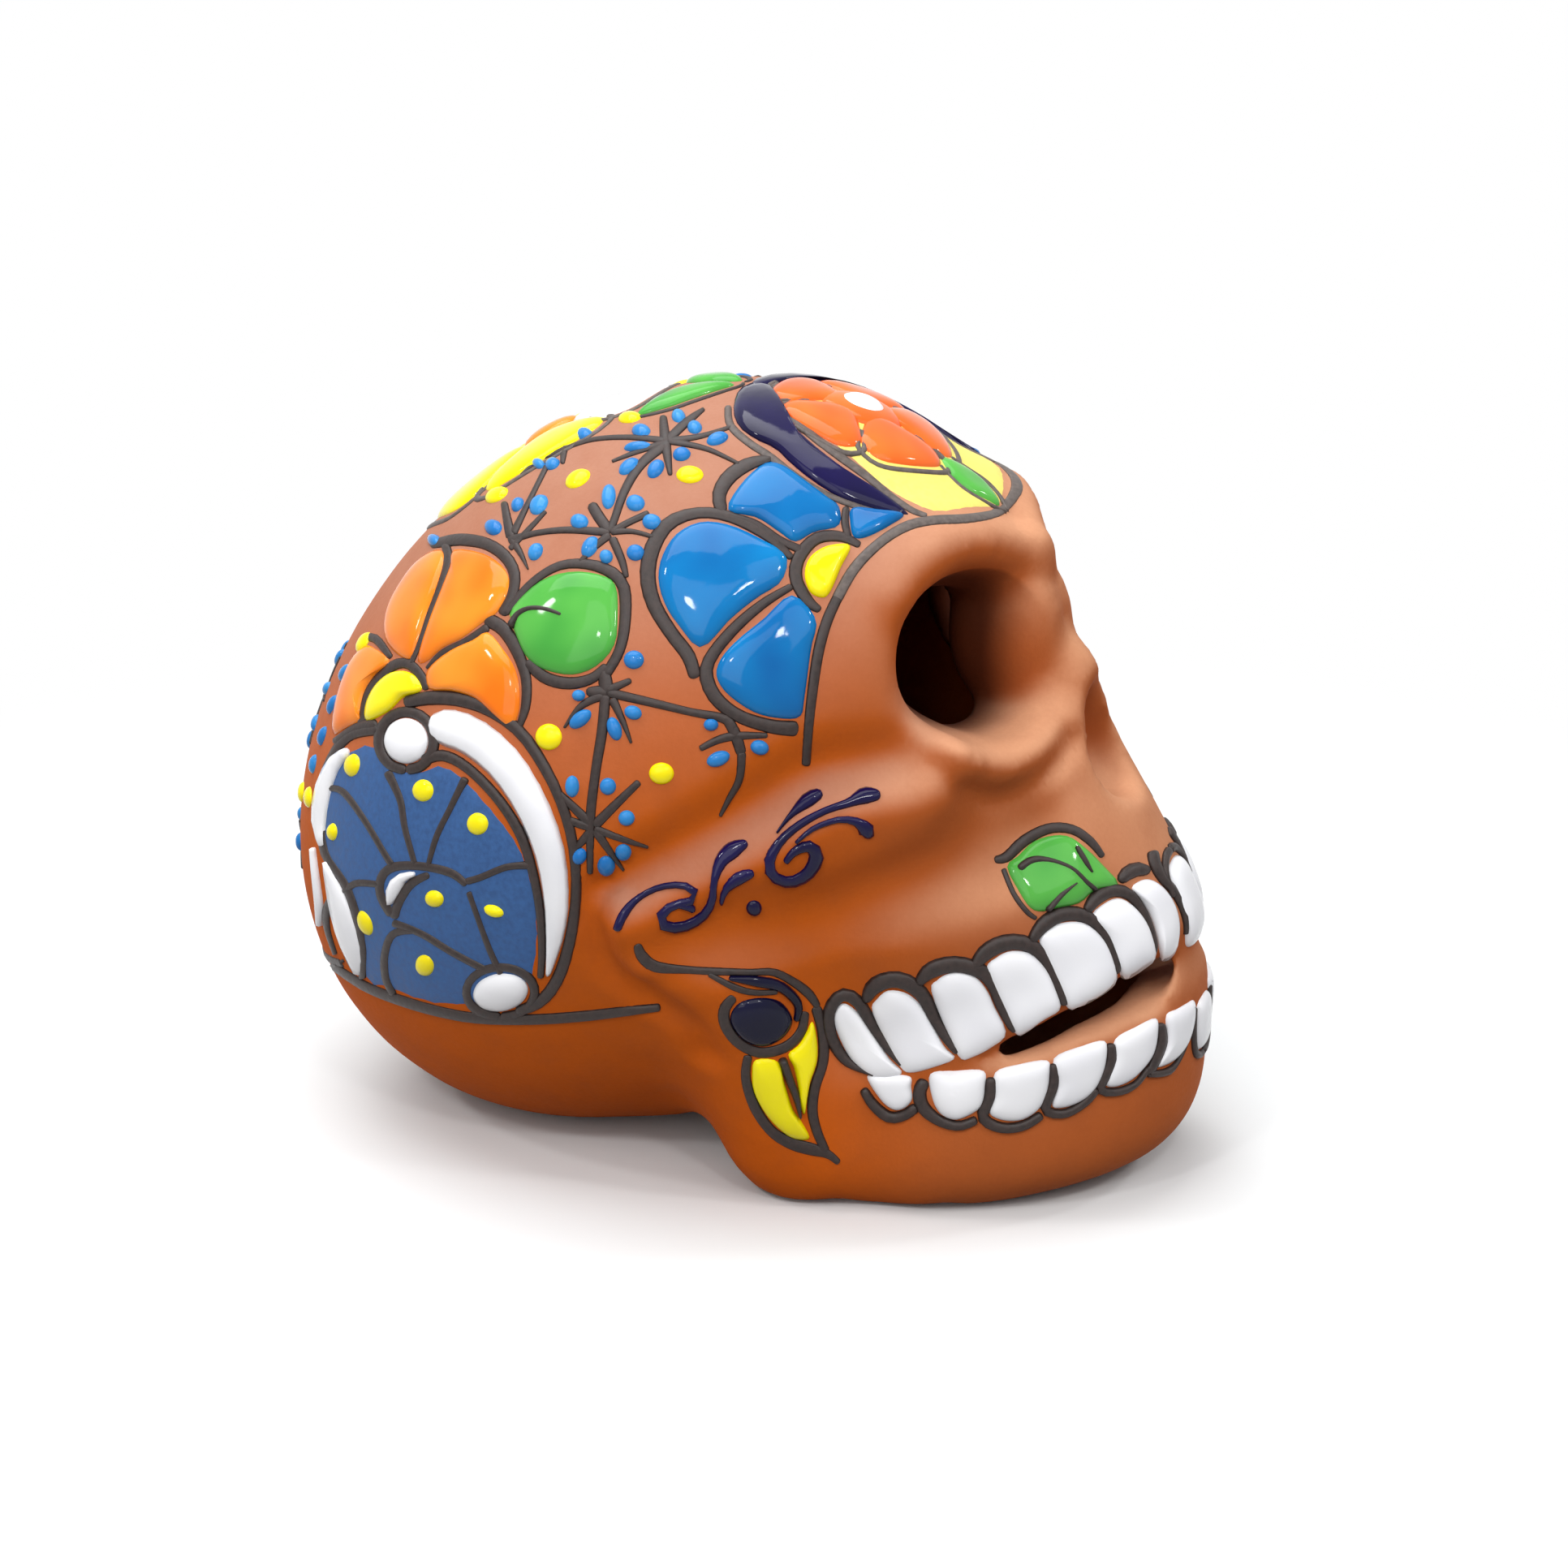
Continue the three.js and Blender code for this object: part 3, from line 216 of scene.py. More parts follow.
def relief(tree, surface, height, depth, strength):
    inputs = {"Height": height, "Distance": depth, "Strength": strength}
    feed(tree, surface, "Normal", node(tree, "ShaderNodeBump", {}, inputs))


print("mid grey for a shader:", round(painted((128, 128, 128))[0], 3))

# %% [markdown]
# Terracotta is fired clay: matt, a little blotchy from the kiln, with a fine grain that shows only
# up close. A middle noise adds faint blotches, and a fine one gives the grain its bump and
# roughness. The tone also holds painted light and shade: clay that looks up is painted pale, as if
# lit from above, more so on the face, and the sides and underparts are painted a deeper, more
# saturated orange as painted shade. So the tone follows how far the clay looks up, slow fades shift
# it towards the face and the foot, and the walls of the eye holes get a painted dark shade. A bare
# colour would look like plastic.

# %% The clay finish
# Painted light and shade: the lit tones are for clay that looks up, and the shaded tones, a deeper
# and more saturated orange, are for the sides and underparts
CLAY_LIT_TOP = painted((170, 121, 99))
CLAY_SHADED_SIDE = painted((188, 86, 10))
CLAY_FACE_LIT = painted((210, 152, 115))
CLAY_FACE_SHADED = painted((168, 86, 40))
CLAY_SHADED_FOOT = painted((202, 90, 4))
CLAY_SHADED_CHIN = painted((184, 94, 42))
CLAY_STAIN = painted((142, 74, 42))
# Painted shade: a near-black brown for the walls of the eye holes and the hollow behind them
CLAY_HOLE_SHADE = painted((58, 20, 8))
CLAY_SHEEN = 0.14
CLAY_ROUGH = 0.66
# Each noise: the size of its patches, and its detail
CLAY_DRIFT = (60 * MM, 3)
CLAY_BLOTCH = (9 * MM, 4)
CLAY_GRAIN = (0.9 * MM, 3)
BLOTCH_REACH = (0.45, 0.8)
BLOTCH_SHARE = 0.22
BLOTCH_HEIGHT = 0.6
GRAIN_SHARE = 0.16
GRAIN_ROUGH = 0.2
# The bump's depth and strength
CLAY_RELIEF = (0.12 * MM, 0.5)
# The name under which the clay keeps how far each of its points looks up
RISE = "rise"
# Where the painted light on upward-facing clay starts and ends, and how far a noise shifts it
LIT_TOP_REACH = (0.05, 1.05)
LIT_TOP_DRIFT = 0.3
FACE_REACH = (-25 * MM, -65 * MM)
FOOT_REACH = (60 * MM, 10 * MM)
# The eye holes, in mm: the middle of their outer ends, their turn from straight ahead, their sizes
HOLE_X = 21
HOLE_Y = -60.5
HOLE_Z = 109
HOLE_TURN = math.radians(26)
HOLE_RADIUS = 13.5
HOLE_LENGTH = 40
# The painted shade in the eye holes: where it starts and ends along a hole, and at which shares
# of its squared radius
HOLE_SHADE_REACH = (3 * MM, 15 * MM)
HOLLOW_REACH = (60 * MM, 45 * MM)
HOLE_SHADE_ROUND = (1.39, 1.19)
HOLE_SHADE_SPREAD = 0.35
HOLE_SHADE_SHARE = 0.9


def inside_eye_hole(tree):
    """A share of painted shade that rises to 1 along the wall of the eye holes and in the hollow
    behind them.
    """
    folded = node(tree, "ShaderNodeMath", {"operation": "ABSOLUTE"}, {0: axis(tree, "X")})
    along_x = folded - HOLE_X * MM
    along_y = axis(tree, "Y") - HOLE_Y * MM
    up = axis(tree, "Z") - HOLE_Z * MM
    inward = along_y * math.cos(HOLE_TURN) - along_x * math.sin(HOLE_TURN)
    across = along_x * math.cos(HOLE_TURN) + along_y * math.sin(HOLE_TURN)
    reach = inward * HOLE_SHADE_SPREAD + HOLE_RADIUS * MM
    near = fade(tree, (across * across + up * up) / (reach * reach), *HOLE_SHADE_ROUND)
    return fade(tree, inward, *HOLE_SHADE_REACH) * fade(tree, inward, *HOLLOW_REACH) * near


def terracotta():
    material, tree, surface = new_finish("terracotta", {"Specular IOR Level": CLAY_SHEEN})
    blotch = patches(tree, CLAY_BLOTCH, BLOTCH_REACH)
    grain = noise(tree, *CLAY_GRAIN)
    rise = node(tree, "ShaderNodeAttribute", {"attribute_name": RISE}, {}, "Fac")
    # Painted light: clay that looks up is mixed towards the pale lit tones, and the rest keeps the
    # painted shade of the deeper orange tones
    upward = fade(tree, rise + noise(tree, *CLAY_DRIFT) * LIT_TOP_DRIFT, *LIT_TOP_REACH)
    face = fade(tree, axis(tree, "Y"), *FACE_REACH)
    foot = fade(tree, axis(tree, "Z"), *FOOT_REACH)
    shaded_back_tone = mix(tree, foot, CLAY_SHADED_SIDE, CLAY_SHADED_FOOT)
    shaded_front_tone = mix(tree, foot, CLAY_FACE_SHADED, CLAY_SHADED_CHIN)
    tone = mix(tree, face, shaded_back_tone, shaded_front_tone)
    tone = mix(tree, upward, tone, mix(tree, face, CLAY_LIT_TOP, CLAY_FACE_LIT))
    tone = mix(tree, blotch * BLOTCH_SHARE, tone, CLAY_STAIN)
    tone = mix(tree, grain * GRAIN_SHARE, tone, CLAY_STAIN)
    # Painted shade in the eye holes and the hollow behind them
    tone = mix(tree, inside_eye_hole(tree) * HOLE_SHADE_SHARE, tone, CLAY_HOLE_SHADE)
    feed(tree, surface, "Base Color", tone)
    feed(tree, surface, "Roughness", grain * GRAIN_ROUGH + CLAY_ROUGH)
    relief(tree, surface, grain + blotch * BLOTCH_HEIGHT, *CLAY_RELIEF)
    return material


clay_finish = terracotta()
print("finish:", clay_finish.name)

# %% [markdown]
# Enamel is glass: it pools thick, with a deeper colour in the middle, and a shine that wavers
# because the pool is never quite level. The deep and the bright tone trade places over a soft
# noise, and a slow bump bends the reflections. Flat paint and brush lines are streaky and rougher.

# %% The enamel and paint finishes
ENAMEL_SHINE = {"Specular IOR Level": 0.14, "Coat Weight": 0.08, "Coat Roughness": 0.03}
ENAMEL_ROUGH = 0.05
POOL_DRIFT = (12 * MM, 1)
DRIFT_REACH = (0.25, 0.75)
POOL_WAVE = (3 * MM, 1)
WAVE_RELIEF = (0.25 * MM, 0.15)
PAINT_SHINE = {"Specular IOR Level": 0.35}
BRUSH_STREAK = (1.2 * MM, 3)
STREAK_REACH = (0.32, 0.7)
STREAK_RELIEF = (0.1 * MM, 0.3)
STREAK_ROUGH = 0.15
SPECK_ROUGH = 0.04


def enamel(name, bright, deep):
    material, tree, surface = new_finish(name, ENAMEL_SHINE)
    drift = patches(tree, POOL_DRIFT, DRIFT_REACH)
    feed(tree, surface, "Base Color", mix(tree, drift, painted(deep), painted(bright)))
    speck = noise(tree, *BRUSH_STREAK)
    feed(tree, surface, "Roughness", speck * SPECK_ROUGH + ENAMEL_ROUGH)
    relief(tree, surface, noise(tree, *POOL_WAVE), *WAVE_RELIEF)
    return material


def brushed(name, bright, deep, rough):
    material, tree, surface = new_finish(name, PAINT_SHINE)
    streak = patches(tree, BRUSH_STREAK, STREAK_REACH)
    feed(tree, surface, "Base Color", mix(tree, streak, painted(deep), painted(bright)))
    feed(tree, surface, "Roughness", streak * STREAK_ROUGH + rough)
    relief(tree, surface, streak, *STREAK_RELIEF)
    return material


white_enamel = enamel("white_enamel", (243, 243, 245), (232, 232, 236))
blue_enamel = enamel("blue_enamel", (0, 120, 184), (0, 94, 160))
drop_enamel = enamel("drop_blue_enamel", (52, 140, 204), (24, 108, 180))
orange_enamel = enamel("orange_enamel", (250, 148, 38), (234, 112, 6))
red_enamel = enamel("red_orange_enamel", (246, 116, 44), (230, 90, 22))
yellow_enamel = enamel("yellow_enamel", (250, 236, 4), (238, 218, 0))
green_enamel = enamel("green_enamel", (92, 180, 74), (60, 150, 56))
cobalt_enamel = enamel("cobalt_enamel", (20, 12, 70), (11, 6, 46))
ink_enamel = enamel("ink_blue_enamel", (10, 10, 48), (6, 6, 30))
slate_paint = brushed("slate_blue_paint", (52, 92, 146), (42, 78, 128), 0.5)
pale_paint = brushed("pale_yellow_paint", (232, 218, 112), (224, 208, 98), 0.45)
line_paint = brushed("dark_brush_line", (50, 38, 35), (32, 22, 19), 0.42)
# Painted light: the dark brush line painted grey for the upper lines that face the lamps
line_paint_lit = brushed("brush_line_painted_lit", (98, 88, 83), (70, 61, 57), 0.45)
print("finishes:", len(bpy.data.materials))

# %% [markdown]
# The packed clay body is a net of flat triangles a few millimetres wide. The real casting is
# smooth, so a copy of it is merged, its triangles are paired back into squares, and subdivision
# rounds it. Squares matter: subdivision turns a square net into an even skin, while loose
# triangles would leave a faint star at every corner. A roll of clay narrows the nose side of each
# eye hole. A remesh then joins it with the body and gives all of it cells of one size, so that
# smoothing works the same everywhere.

# %% The clay skin
MERGE_DISTANCE = 0.8 * MM
SLIVER = 0.4 * MM
PAIRING_ANGLE = math.radians(40)
SKIN_LEVELS = 2
SKIN_CELL = 1.62 * MM
# The roll at each eye hole, in mm from the hole's outer end, and its half sizes
ROLL_PLACE = Vector((15, 15, 3))
ROLL_SIZE = (9, 13, 18)
ROLL_SIDES = 32
ROLL_RINGS = 16


def opened(mesh):
    net = bmesh.new()
    net.from_mesh(mesh)
    return net


def square_net(source):
    net = opened(source)
    bmesh.ops.remove_doubles(net, verts=net.verts, dist=MERGE_DISTANCE)
    bmesh.ops.dissolve_degenerate(net, edges=net.edges, dist=SLIVER)
    limits = {"angle_face_threshold": PAIRING_ANGLE, "angle_shape_threshold": PAIRING_ANGLE}
    bmesh.ops.join_triangles(net, faces=net.faces, **limits)
    return net


def add_rolls(net):
    """A roll of clay along the nose side of each eye hole."""
    for side in (-1, 1):
        turn = Matrix.Rotation(side * HOLE_TURN, 4, "Z")
        aside = turn @ (ROLL_PLACE * Vector((-side, 1, 1)))
        middle = Vector((side * HOLE_X, HOLE_Y, HOLE_Z)) + aside
        pose = Matrix.Translation(middle * MM) @ turn @ Matrix.Diagonal((*ROLL_SIZE, 1))
        bmesh.ops.create_uvsphere(
            net, u_segments=ROLL_SIDES, v_segments=ROLL_RINGS, radius=MM, matrix=pose
        )


def rounded(net):
    """The net as an even, smooth mesh."""
    rough = bpy.data.meshes.new("clay_net")
    net.to_mesh(rough)
    net.free()
    holder = bpy.data.objects.new("clay_net", rough)
    scene.collection.objects.link(holder)
    rounding = holder.modifiers.new("rounding", "SUBSURF")
    rounding.levels = SKIN_LEVELS
    rounding.render_levels = SKIN_LEVELS
    even = holder.modifiers.new("even_net", "REMESH")
    even.mode = "VOXEL"
    even.voxel_size = SKIN_CELL
    settled = holder.evaluated_get(bpy.context.evaluated_depsgraph_get())
    mesh = bpy.data.meshes.new_from_object(settled)
    bpy.data.objects.remove(holder)
    return mesh


clay_net = square_net(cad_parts["clay_skull"].data)
add_rolls(clay_net)
clay_mesh = rounded(clay_net)
print("clay faces:", len(clay_mesh.polygons))

# %% [markdown]
# The eye holes were cut with a round tool, so the clay near their walls is moved onto a true
# round. The potter then wiped the cut edges of the eyes, the nose and the mouth with a wet finger,
# so those get some more smoothing than the rest.

# %% The clay body
SKIN_SMOOTHING = 3
WIPE_STRENGTH = 0.5
HOLE_SLACK = 1.6
# Boxes, in mm and without the sign of x, that were wiped with a wet finger, and how often
WIPED = {
    "eye holes": ((2, -74, 90), (42, -15, 127), 5),
    "nose": ((0, -110, 66), (22, -60, 104), 4),
    "mouth": ((0, -110, 34), (60, -36, 52), 3),
}


def wipe(net, vertices, passes):
    axes = {"use_axis_x": True, "use_axis_y": True, "use_axis_z": True}
    for turn in range(passes):
        bmesh.ops.smooth_vert(net, verts=vertices, factor=WIPE_STRENGTH, **axes)


def wipe_box(net, low, high, passes):
    inside = []
    for vertex in net.verts:
        folded = (abs(vertex.co.x), vertex.co.y, vertex.co.z)
        if all(a * MM < p < b * MM for a, p, b in zip(low, folded, high)):
            inside.append(vertex)
    wipe(net, inside, passes)


def round_holes(net):
    """Move the clay near the wall of each eye hole onto a true round."""
    slack = HOLE_SLACK * MM
    for vertex in net.verts:
        side = 1 if vertex.co.x > 0 else -1
        inward = Vector((-side * math.sin(HOLE_TURN), math.cos(HOLE_TURN), 0))
        away = vertex.co - Vector((side * HOLE_X, HOLE_Y, HOLE_Z)) * MM
        depth = away.dot(inward)
        out = away - inward * depth
        error = HOLE_RADIUS * MM - out.length
        if 0 < depth < HOLE_LENGTH * MM and abs(error) < slack:
            vertex.co += out.normalized() * error * (1 - (error / slack) ** 2)


def settle(net):
    """Write the net to the clay, and return the tree that rays search."""
    net.to_mesh(clay_mesh)
    tree = BVHTree.FromBMesh(net)
    net.free()
    return tree


def add_object(name, mesh, finish):
    mesh.materials.clear()
    mesh.materials.append(finish)
    for face in mesh.polygons:
        face.use_smooth = True
    made = bpy.data.objects.new(name, mesh)
    scene.collection.objects.link(made)
    return made


skin = opened(clay_mesh)
wipe(skin, skin.verts, SKIN_SMOOTHING)
round_holes(skin)
for wiped in WIPED.values():
    wipe_box(skin, *wiped)
clay_tree = settle(skin)
clay_body = add_object("clay_body", clay_mesh, clay_finish)
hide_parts("clay_skull")
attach(clay_body, "root")
print("wiped places:", ", ".join(WIPED))

# %% [markdown]
# A painter works straight on the clay, so every mark has to lie on it, from any side. Each view
# below is a way to point at the clay: through the photograph's pixels, or in millimetres from the
# front, above or behind. A ray from the view finds the spot, and the clay's own normal says which
# way the enamel rises.

# %% Ways to point at the clay
FAR = 400 * MM
NO_LIMIT = 10 * FAR
LIP_DEPTH = 5 * MM
NEAR_ENOUGH = 1e-9
NEAREST_TRIES = 2


def clay_normal(face, place):
    """The clay's normal at a place, blended from the corners of the face it is on."""
    total = Vector()
    for corner in clay_mesh.polygons[face].vertices:
        vertex = clay_mesh.vertices[corner]
        total += vertex.normal / ((vertex.co - place).length_squared + NEAR_ENOUGH)
    return total.normalized()


def along(start, ray, deepest=NO_LIMIT):
    """The clay that a ray meets, or the nearest clay where it misses or slips into an opening."""
    place, _, face, reach = clay_tree.ray_cast(start, ray)
    if place is None or reach > deepest:
        passing = start + ray * min(deepest, (AIM - start).dot(ray))
        for turn in range(NEAREST_TRIES):
            place, _, face, _ = clay_tree.find_nearest(passing)
            passing = start + ray * (place - start).dot(ray)
    return place, clay_normal(face, place)


def photo(right, down, deepest=NO_LIMIT):
    """The clay behind a pixel of the photograph."""
    beside = (right - AIM_PIXEL[0]) / FOCAL_PIXELS
    over = (AIM_PIXEL[1] - down) / FOCAL_PIXELS
    return along(eye, (looking @ Vector((beside, over, -1))).normalized(), deepest)


def lips(middle):
    """The photograph's view for marks near one place, which don't slip into the mouth."""
    deepest = (photo(*middle)[0] - eye).length + LIP_DEPTH
    return lambda right, down: photo(right, down, deepest)


def front(x, z):
    return along(Vector((x * MM, -FAR, z * MM)), Vector((0, 1, 0)))


def behind(x, z):
    return along(Vector((x * MM, FAR, z * MM)), Vector((0, -1, 0)))


def above(x, y):
    return along(Vector((x * MM, y * MM, FAR)), Vector((0, 0, -1)))


print("crown of the skull, mm:", [round(c / MM) for c in above(0, 0)[0]])

# %% [markdown]
# Paths and outlines below are a few points each, and the hand that drew them moved smoothly. A
# curve of cubic pieces passes through every point, so a point can be read straight off the
# photograph; a Bezier curve would need handles beside the line.

# %% A smooth curve through points
def curve_point(points, place, closed):
    """A place on the smooth curve through some points; place counts whole points."""
    count = len(points)
    first = math.floor(place)
    if not closed:
        first = min(max(first, 0), count - 2)
    share = place - first
    around = range(first - 1, first + 3)
    picks = [i % count if closed else min(max(i, 0), count - 1) for i in around]
    curve = []
    for a, b, c, d in zip(*(points[pick] for pick in picks)):
        cubic = 2 * a - 5 * b + 4 * c - d + share * (3 * (b - c) + d - a)
        curve.append(b + 0.5 * share * (c - a + share * cubic))
    return curve


print("halfway round a corner:", curve_point([(0, 0), (1, 0), (1, 1), (2, 1)], 1.5, False))

# %% [markdown]
# Before the casting dried, somebody worked its face by hand: a groove above the cheekbone and a
# deeper one below it, a pouch under each eye, a brow. Each is a thumb stroke along a path, so the
# clay near the path is moved along its own normal, most at the path and less towards the edge of
# the thumb. A sculpting brush would do the same by hand, but a path in numbers gives both cheeks
# the same stroke.

# %% Thumb strokes in the clay
THUMB_STEPS = 40
THUMB_WIPES = 4
THUMB_BOX = ((8, -110, 60), (75, -5, 140))
# Each stroke: reach to the side in mm, rise in mm, path in pixels
THUMB_STROKES = {
    "temple groove": (10, -3.2, [
        (770, 1092), (870, 1038), (955, 985), (1010, 955), (1070, 950), (1125, 945),
    ]),
    "cheekbone": (9, 2.6, [
        (775, 1128), (860, 1085), (940, 1045), (1020, 1000), (1100, 975), (1150, 968),
    ]),
    "cheek groove": (13, -3.4, [
        (870, 1165), (960, 1140), (1040, 1116), (1120, 1092), (1200, 1066), (1270, 1034),
    ]),
    "eye pouch": (10, 1.9, [(1168, 925), (1205, 948), (1245, 950), (1285, 930), (1305, 900)]),
    "pouch crease": (4, -2.4, [
        (1158, 946), (1182, 968), (1222, 980), (1262, 970), (1300, 940), (1320, 912),
    ]),
    "brow": (8, 1.8, [(1108, 735), (1128, 700), (1165, 678), (1215, 668), (1275, 675)]),
    "jaw step": (6, -2.0, [
        (738, 1105), (738, 1145), (748, 1185), (790, 1225), (845, 1265), (868, 1300),
    ]),
    "jaw edge": (5, 1.6, [(765, 1120), (764, 1160), (785, 1195)]),
}


def thumb_push(places, normals, reach, rise, path):
    """How far one stroke and its mirror twin move each place along its normal."""
    steps = [step * (len(path) - 1) / THUMB_STEPS for step in range(THUMB_STEPS + 1)]
    spots = [photo(*curve_point(path, step, False)) for step in steps]
    push = np.zeros(len(places))
    for side in (1, -1):
        twin = np.array((side, 1, 1))
        gap = np.full(len(places), np.inf)
        agree = np.zeros(len(places))
        for spot, normal in spots:
            away = np.linalg.norm(places - np.array(spot) * twin, axis=1)
            nearer = away < gap
            gap[nearer] = away[nearer]
            agree[nearer] = (normals @ (np.array(normal) * twin))[nearer]
        share = np.clip(1 - (gap / (reach * MM)) ** 2, 0, 1) ** 2
        push += rise * MM * share * np.clip(agree, 0, 1)
    return push


clay_places = np.array([vertex.co for vertex in clay_mesh.vertices])
clay_normals = np.array([vertex.normal for vertex in clay_mesh.vertices])
push = sum(thumb_push(clay_places, clay_normals, *each) for each in THUMB_STROKES.values())
clay_places += clay_normals * push[:, None]
clay_mesh.vertices.foreach_set("co", clay_places.ravel())
skin = opened(clay_mesh)
wipe_box(skin, *THUMB_BOX, THUMB_WIPES)
clay_tree = settle(skin)
# How far each point looks up, which steers the clay's painted light and shade
rises = clay_mesh.attributes.new(RISE, "FLOAT", "POINT")
rises.data.foreach_set("value", [vertex.normal.z for vertex in clay_mesh.vertices])
print("thumb strokes:", len(THUMB_STROKES), "deepest, mm:", round(push.min() / MM, 1))

# %% [markdown]
# Two shapes make all the painting. The first is a pool: a closed outline that fills to a rounded
# top. It starts as a ball with a pole on top, and its rings are drawn out to the outline, so it is
# a closed body, and its underside reaches a little into the clay. A dot is a pool with a round
# outline.

# %% Pools and dots
SUNK = 0.35 * MM
POOL_SIDES = 40
POOL_RINGS = 14
POOL_EDGE = 4
DOT_POINTS = 8
DOT_RINGS = 10
DOT_EDGE = 2.4


def ball(paint, sides, rings):
    made = bmesh.ops.create_uvsphere(paint, u_segments=sides, v_segments=rings, radius=1)
    return made["verts"]


def turn_outward(paint, vertices):
    faces = {face for vertex in vertices for face in vertex.link_faces}
    bmesh.ops.recalc_face_normals(paint, faces=list(faces))


def middle_of(outline):
    return [sum(part) / len(outline) for part in zip(*outline)]


def turns(count):
    """The angles that part a full turn evenly."""
    return [math.tau * step / count for step in range(count)]


def pool(paint, view, outline, crown, rings=POOL_RINGS, edge=POOL_EDGE):
    """A closed pool of enamel inside an outline, crown millimetres high."""
    middle = middle_of(outline)
    vertices = ball(paint, POOL_SIDES, rings)
    for vertex in vertices:
        share = min(1.0, math.hypot(vertex.co.x, vertex.co.y))
        turn = math.atan2(vertex.co.y, vertex.co.x) / math.tau % 1
        rim = curve_point(outline, turn * len(outline), True)
        place, normal = view(*(m + share * (r - m) for m, r in zip(middle, rim)))
        height = -SUNK
        if vertex.co.z > 0:
            height += (crown * MM + SUNK) * math.sqrt(max(0, 1 - share**edge))
        vertex.co = place + normal * height
    turn_outward(paint, vertices)


def dot(paint, view, crown, middle, width, height=None, lean=0):
    """A round or oval drop of enamel; lean turns it, in degrees."""
    height = height or width
    turn = math.radians(lean)
    outline = []
    for angle in turns(DOT_POINTS):
        x, y = width / 2 * math.cos(angle), height / 2 * math.sin(angle)
        outline.append((
            middle[0] + x * math.cos(turn) - y * math.sin(turn),
            middle[1] + x * math.sin(turn) + y * math.cos(turn),
        ))
    pool(paint, view, outline, crown, DOT_RINGS, DOT_EDGE)


print("points round a dot:", len(turns(DOT_POINTS)))

# %% [markdown]
# The second shape is a stroke: a line that swells and thins like a loaded brush. It is a ball too,
# but stretched along the line, with a pole at each end. A curve with a bevel would be quicker, but
# it would hang above the clay, while here every corner of the ball finds its own spot on it.

# %% Strokes
STROKE_SIDES = 8
STROKE_STEP = 0.35
LEAST_STROKE_RINGS = 8
MOST_STROKE_RINGS = 40
# A step along the path, in points, to both sides of a place, which gives the path's direction
NUDGE = 0.02


def stroke(paint, view, path, crown, lift=0.0):
    """A brush mark along a path of (place, place, width), crown millimetres above its lift."""
    spans = [math.dist(a[:2], b[:2]) for a, b in zip(path, path[1:])]
    length = sum(spans)
    widest = max(point[2] for point in path)
    rings = round(length / (STROKE_STEP * widest))
    rings = min(MOST_STROKE_RINGS, max(LEAST_STROKE_RINGS, rings))
    vertices = ball(paint, STROKE_SIDES, rings)
    for vertex in vertices:
        gone = length * (1 - vertex.co.z) / 2
        index = 0
        while index < len(spans) - 1 and gone > spans[index]:
            gone -= spans[index]
            index += 1
        place = index + min(1, gone / spans[index])
        u, v, width = curve_point(path, place, False)
        ahead = curve_point(path, min(place + NUDGE, len(path) - 1), False)
        back = curve_point(path, max(place - NUDGE, 0), False)
        run = math.hypot(ahead[0] - back[0], ahead[1] - back[1]) or 1
        side = (-(ahead[1] - back[1]) / run, (ahead[0] - back[0]) / run)
        end = min(1, length * (1 - abs(vertex.co.z)) / width)
        thickness = math.sqrt(max(0, 1 - (1 - end) ** 2))
        girth = math.hypot(vertex.co.x, vertex.co.y) or 1
        across = width / 2 * thickness * vertex.co.x / girth
        rise = vertex.co.y / girth
        spot, normal = view(u + side[0] * across, v + side[1] * across)
        height = (crown + lift) * MM * thickness * rise if rise > 0 else SUNK * rise
        vertex.co = spot + normal * height
    turn_outward(paint, vertices)


def pressed(path, press):
    """The same brush mark with the brush pressed harder, so that it is wider."""
    return [(u, v, width * press) for u, v, width in path]


print("rings in a stroke:", LEAST_STROKE_RINGS, "to", MOST_STROKE_RINGS)

# %% [markdown]
# A piece is a list of marks in one finish. The skull is painted alike on both sides, so a piece
# of the right side is copied and mirrored; only what lies on the mirror line stands alone. Each
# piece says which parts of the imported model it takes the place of.

# %% Pieces
def paint_marks(name, marks):
    """A mesh of marks, each a function followed by what it draws."""
    paint = bmesh.new()
    for draw, *what in marks:
        draw(paint, *what)
    mesh = bpy.data.meshes.new(name)
    paint.to_mesh(mesh)
    paint.free()
    print(name, "faces:", len(mesh.polygons))
    return mesh


def add_piece(name, mesh, finish, nodes):
    """A piece of the skull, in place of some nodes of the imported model."""
    piece = add_object(name, mesh, finish)
    if nodes:
        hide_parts(*nodes)
    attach(piece, "root")


def middle_piece(name, finish, marks, nodes=()):
    """A piece on the mirror line."""
    add_piece(name, paint_marks(name, marks), finish, nodes)


def both_sides(name, finish, marks, nodes=()):
    """A right-hand piece and its mirror twin, each in place of the nodes of that side."""
    right = paint_marks(name + "_right", marks)
    left = right.copy()
    left.name = name + "_left"
    left.transform(Matrix.Scale(-1, 4, Vector((1, 0, 0))))
    left.flip_normals()
    for mesh, side in ((right, "right"), (left, "left")):
        add_piece(f"{name}_{side}", mesh, finish, [f"{each}_{side}" for each in nodes])


def numbered(name, pieces):
    """The names of nodes that count up from 1, one to a piece."""
    return [f"{name}_{number}" for number, _ in enumerate(pieces, 1)]


print("names of three nodes:", numbered("petal", "abc"))

# %% [markdown]
# The teeth are fat pools of white enamel, one to a tooth, that bulge over the clay gum. They could
# be boxes with rounded edges, but the real ones were poured: round along the gum, straighter along
# the bite, and each leaning a little with the jaw. Their outlines are pixels for the teeth on the
# side, and millimetres from the front for the middle one of each row.

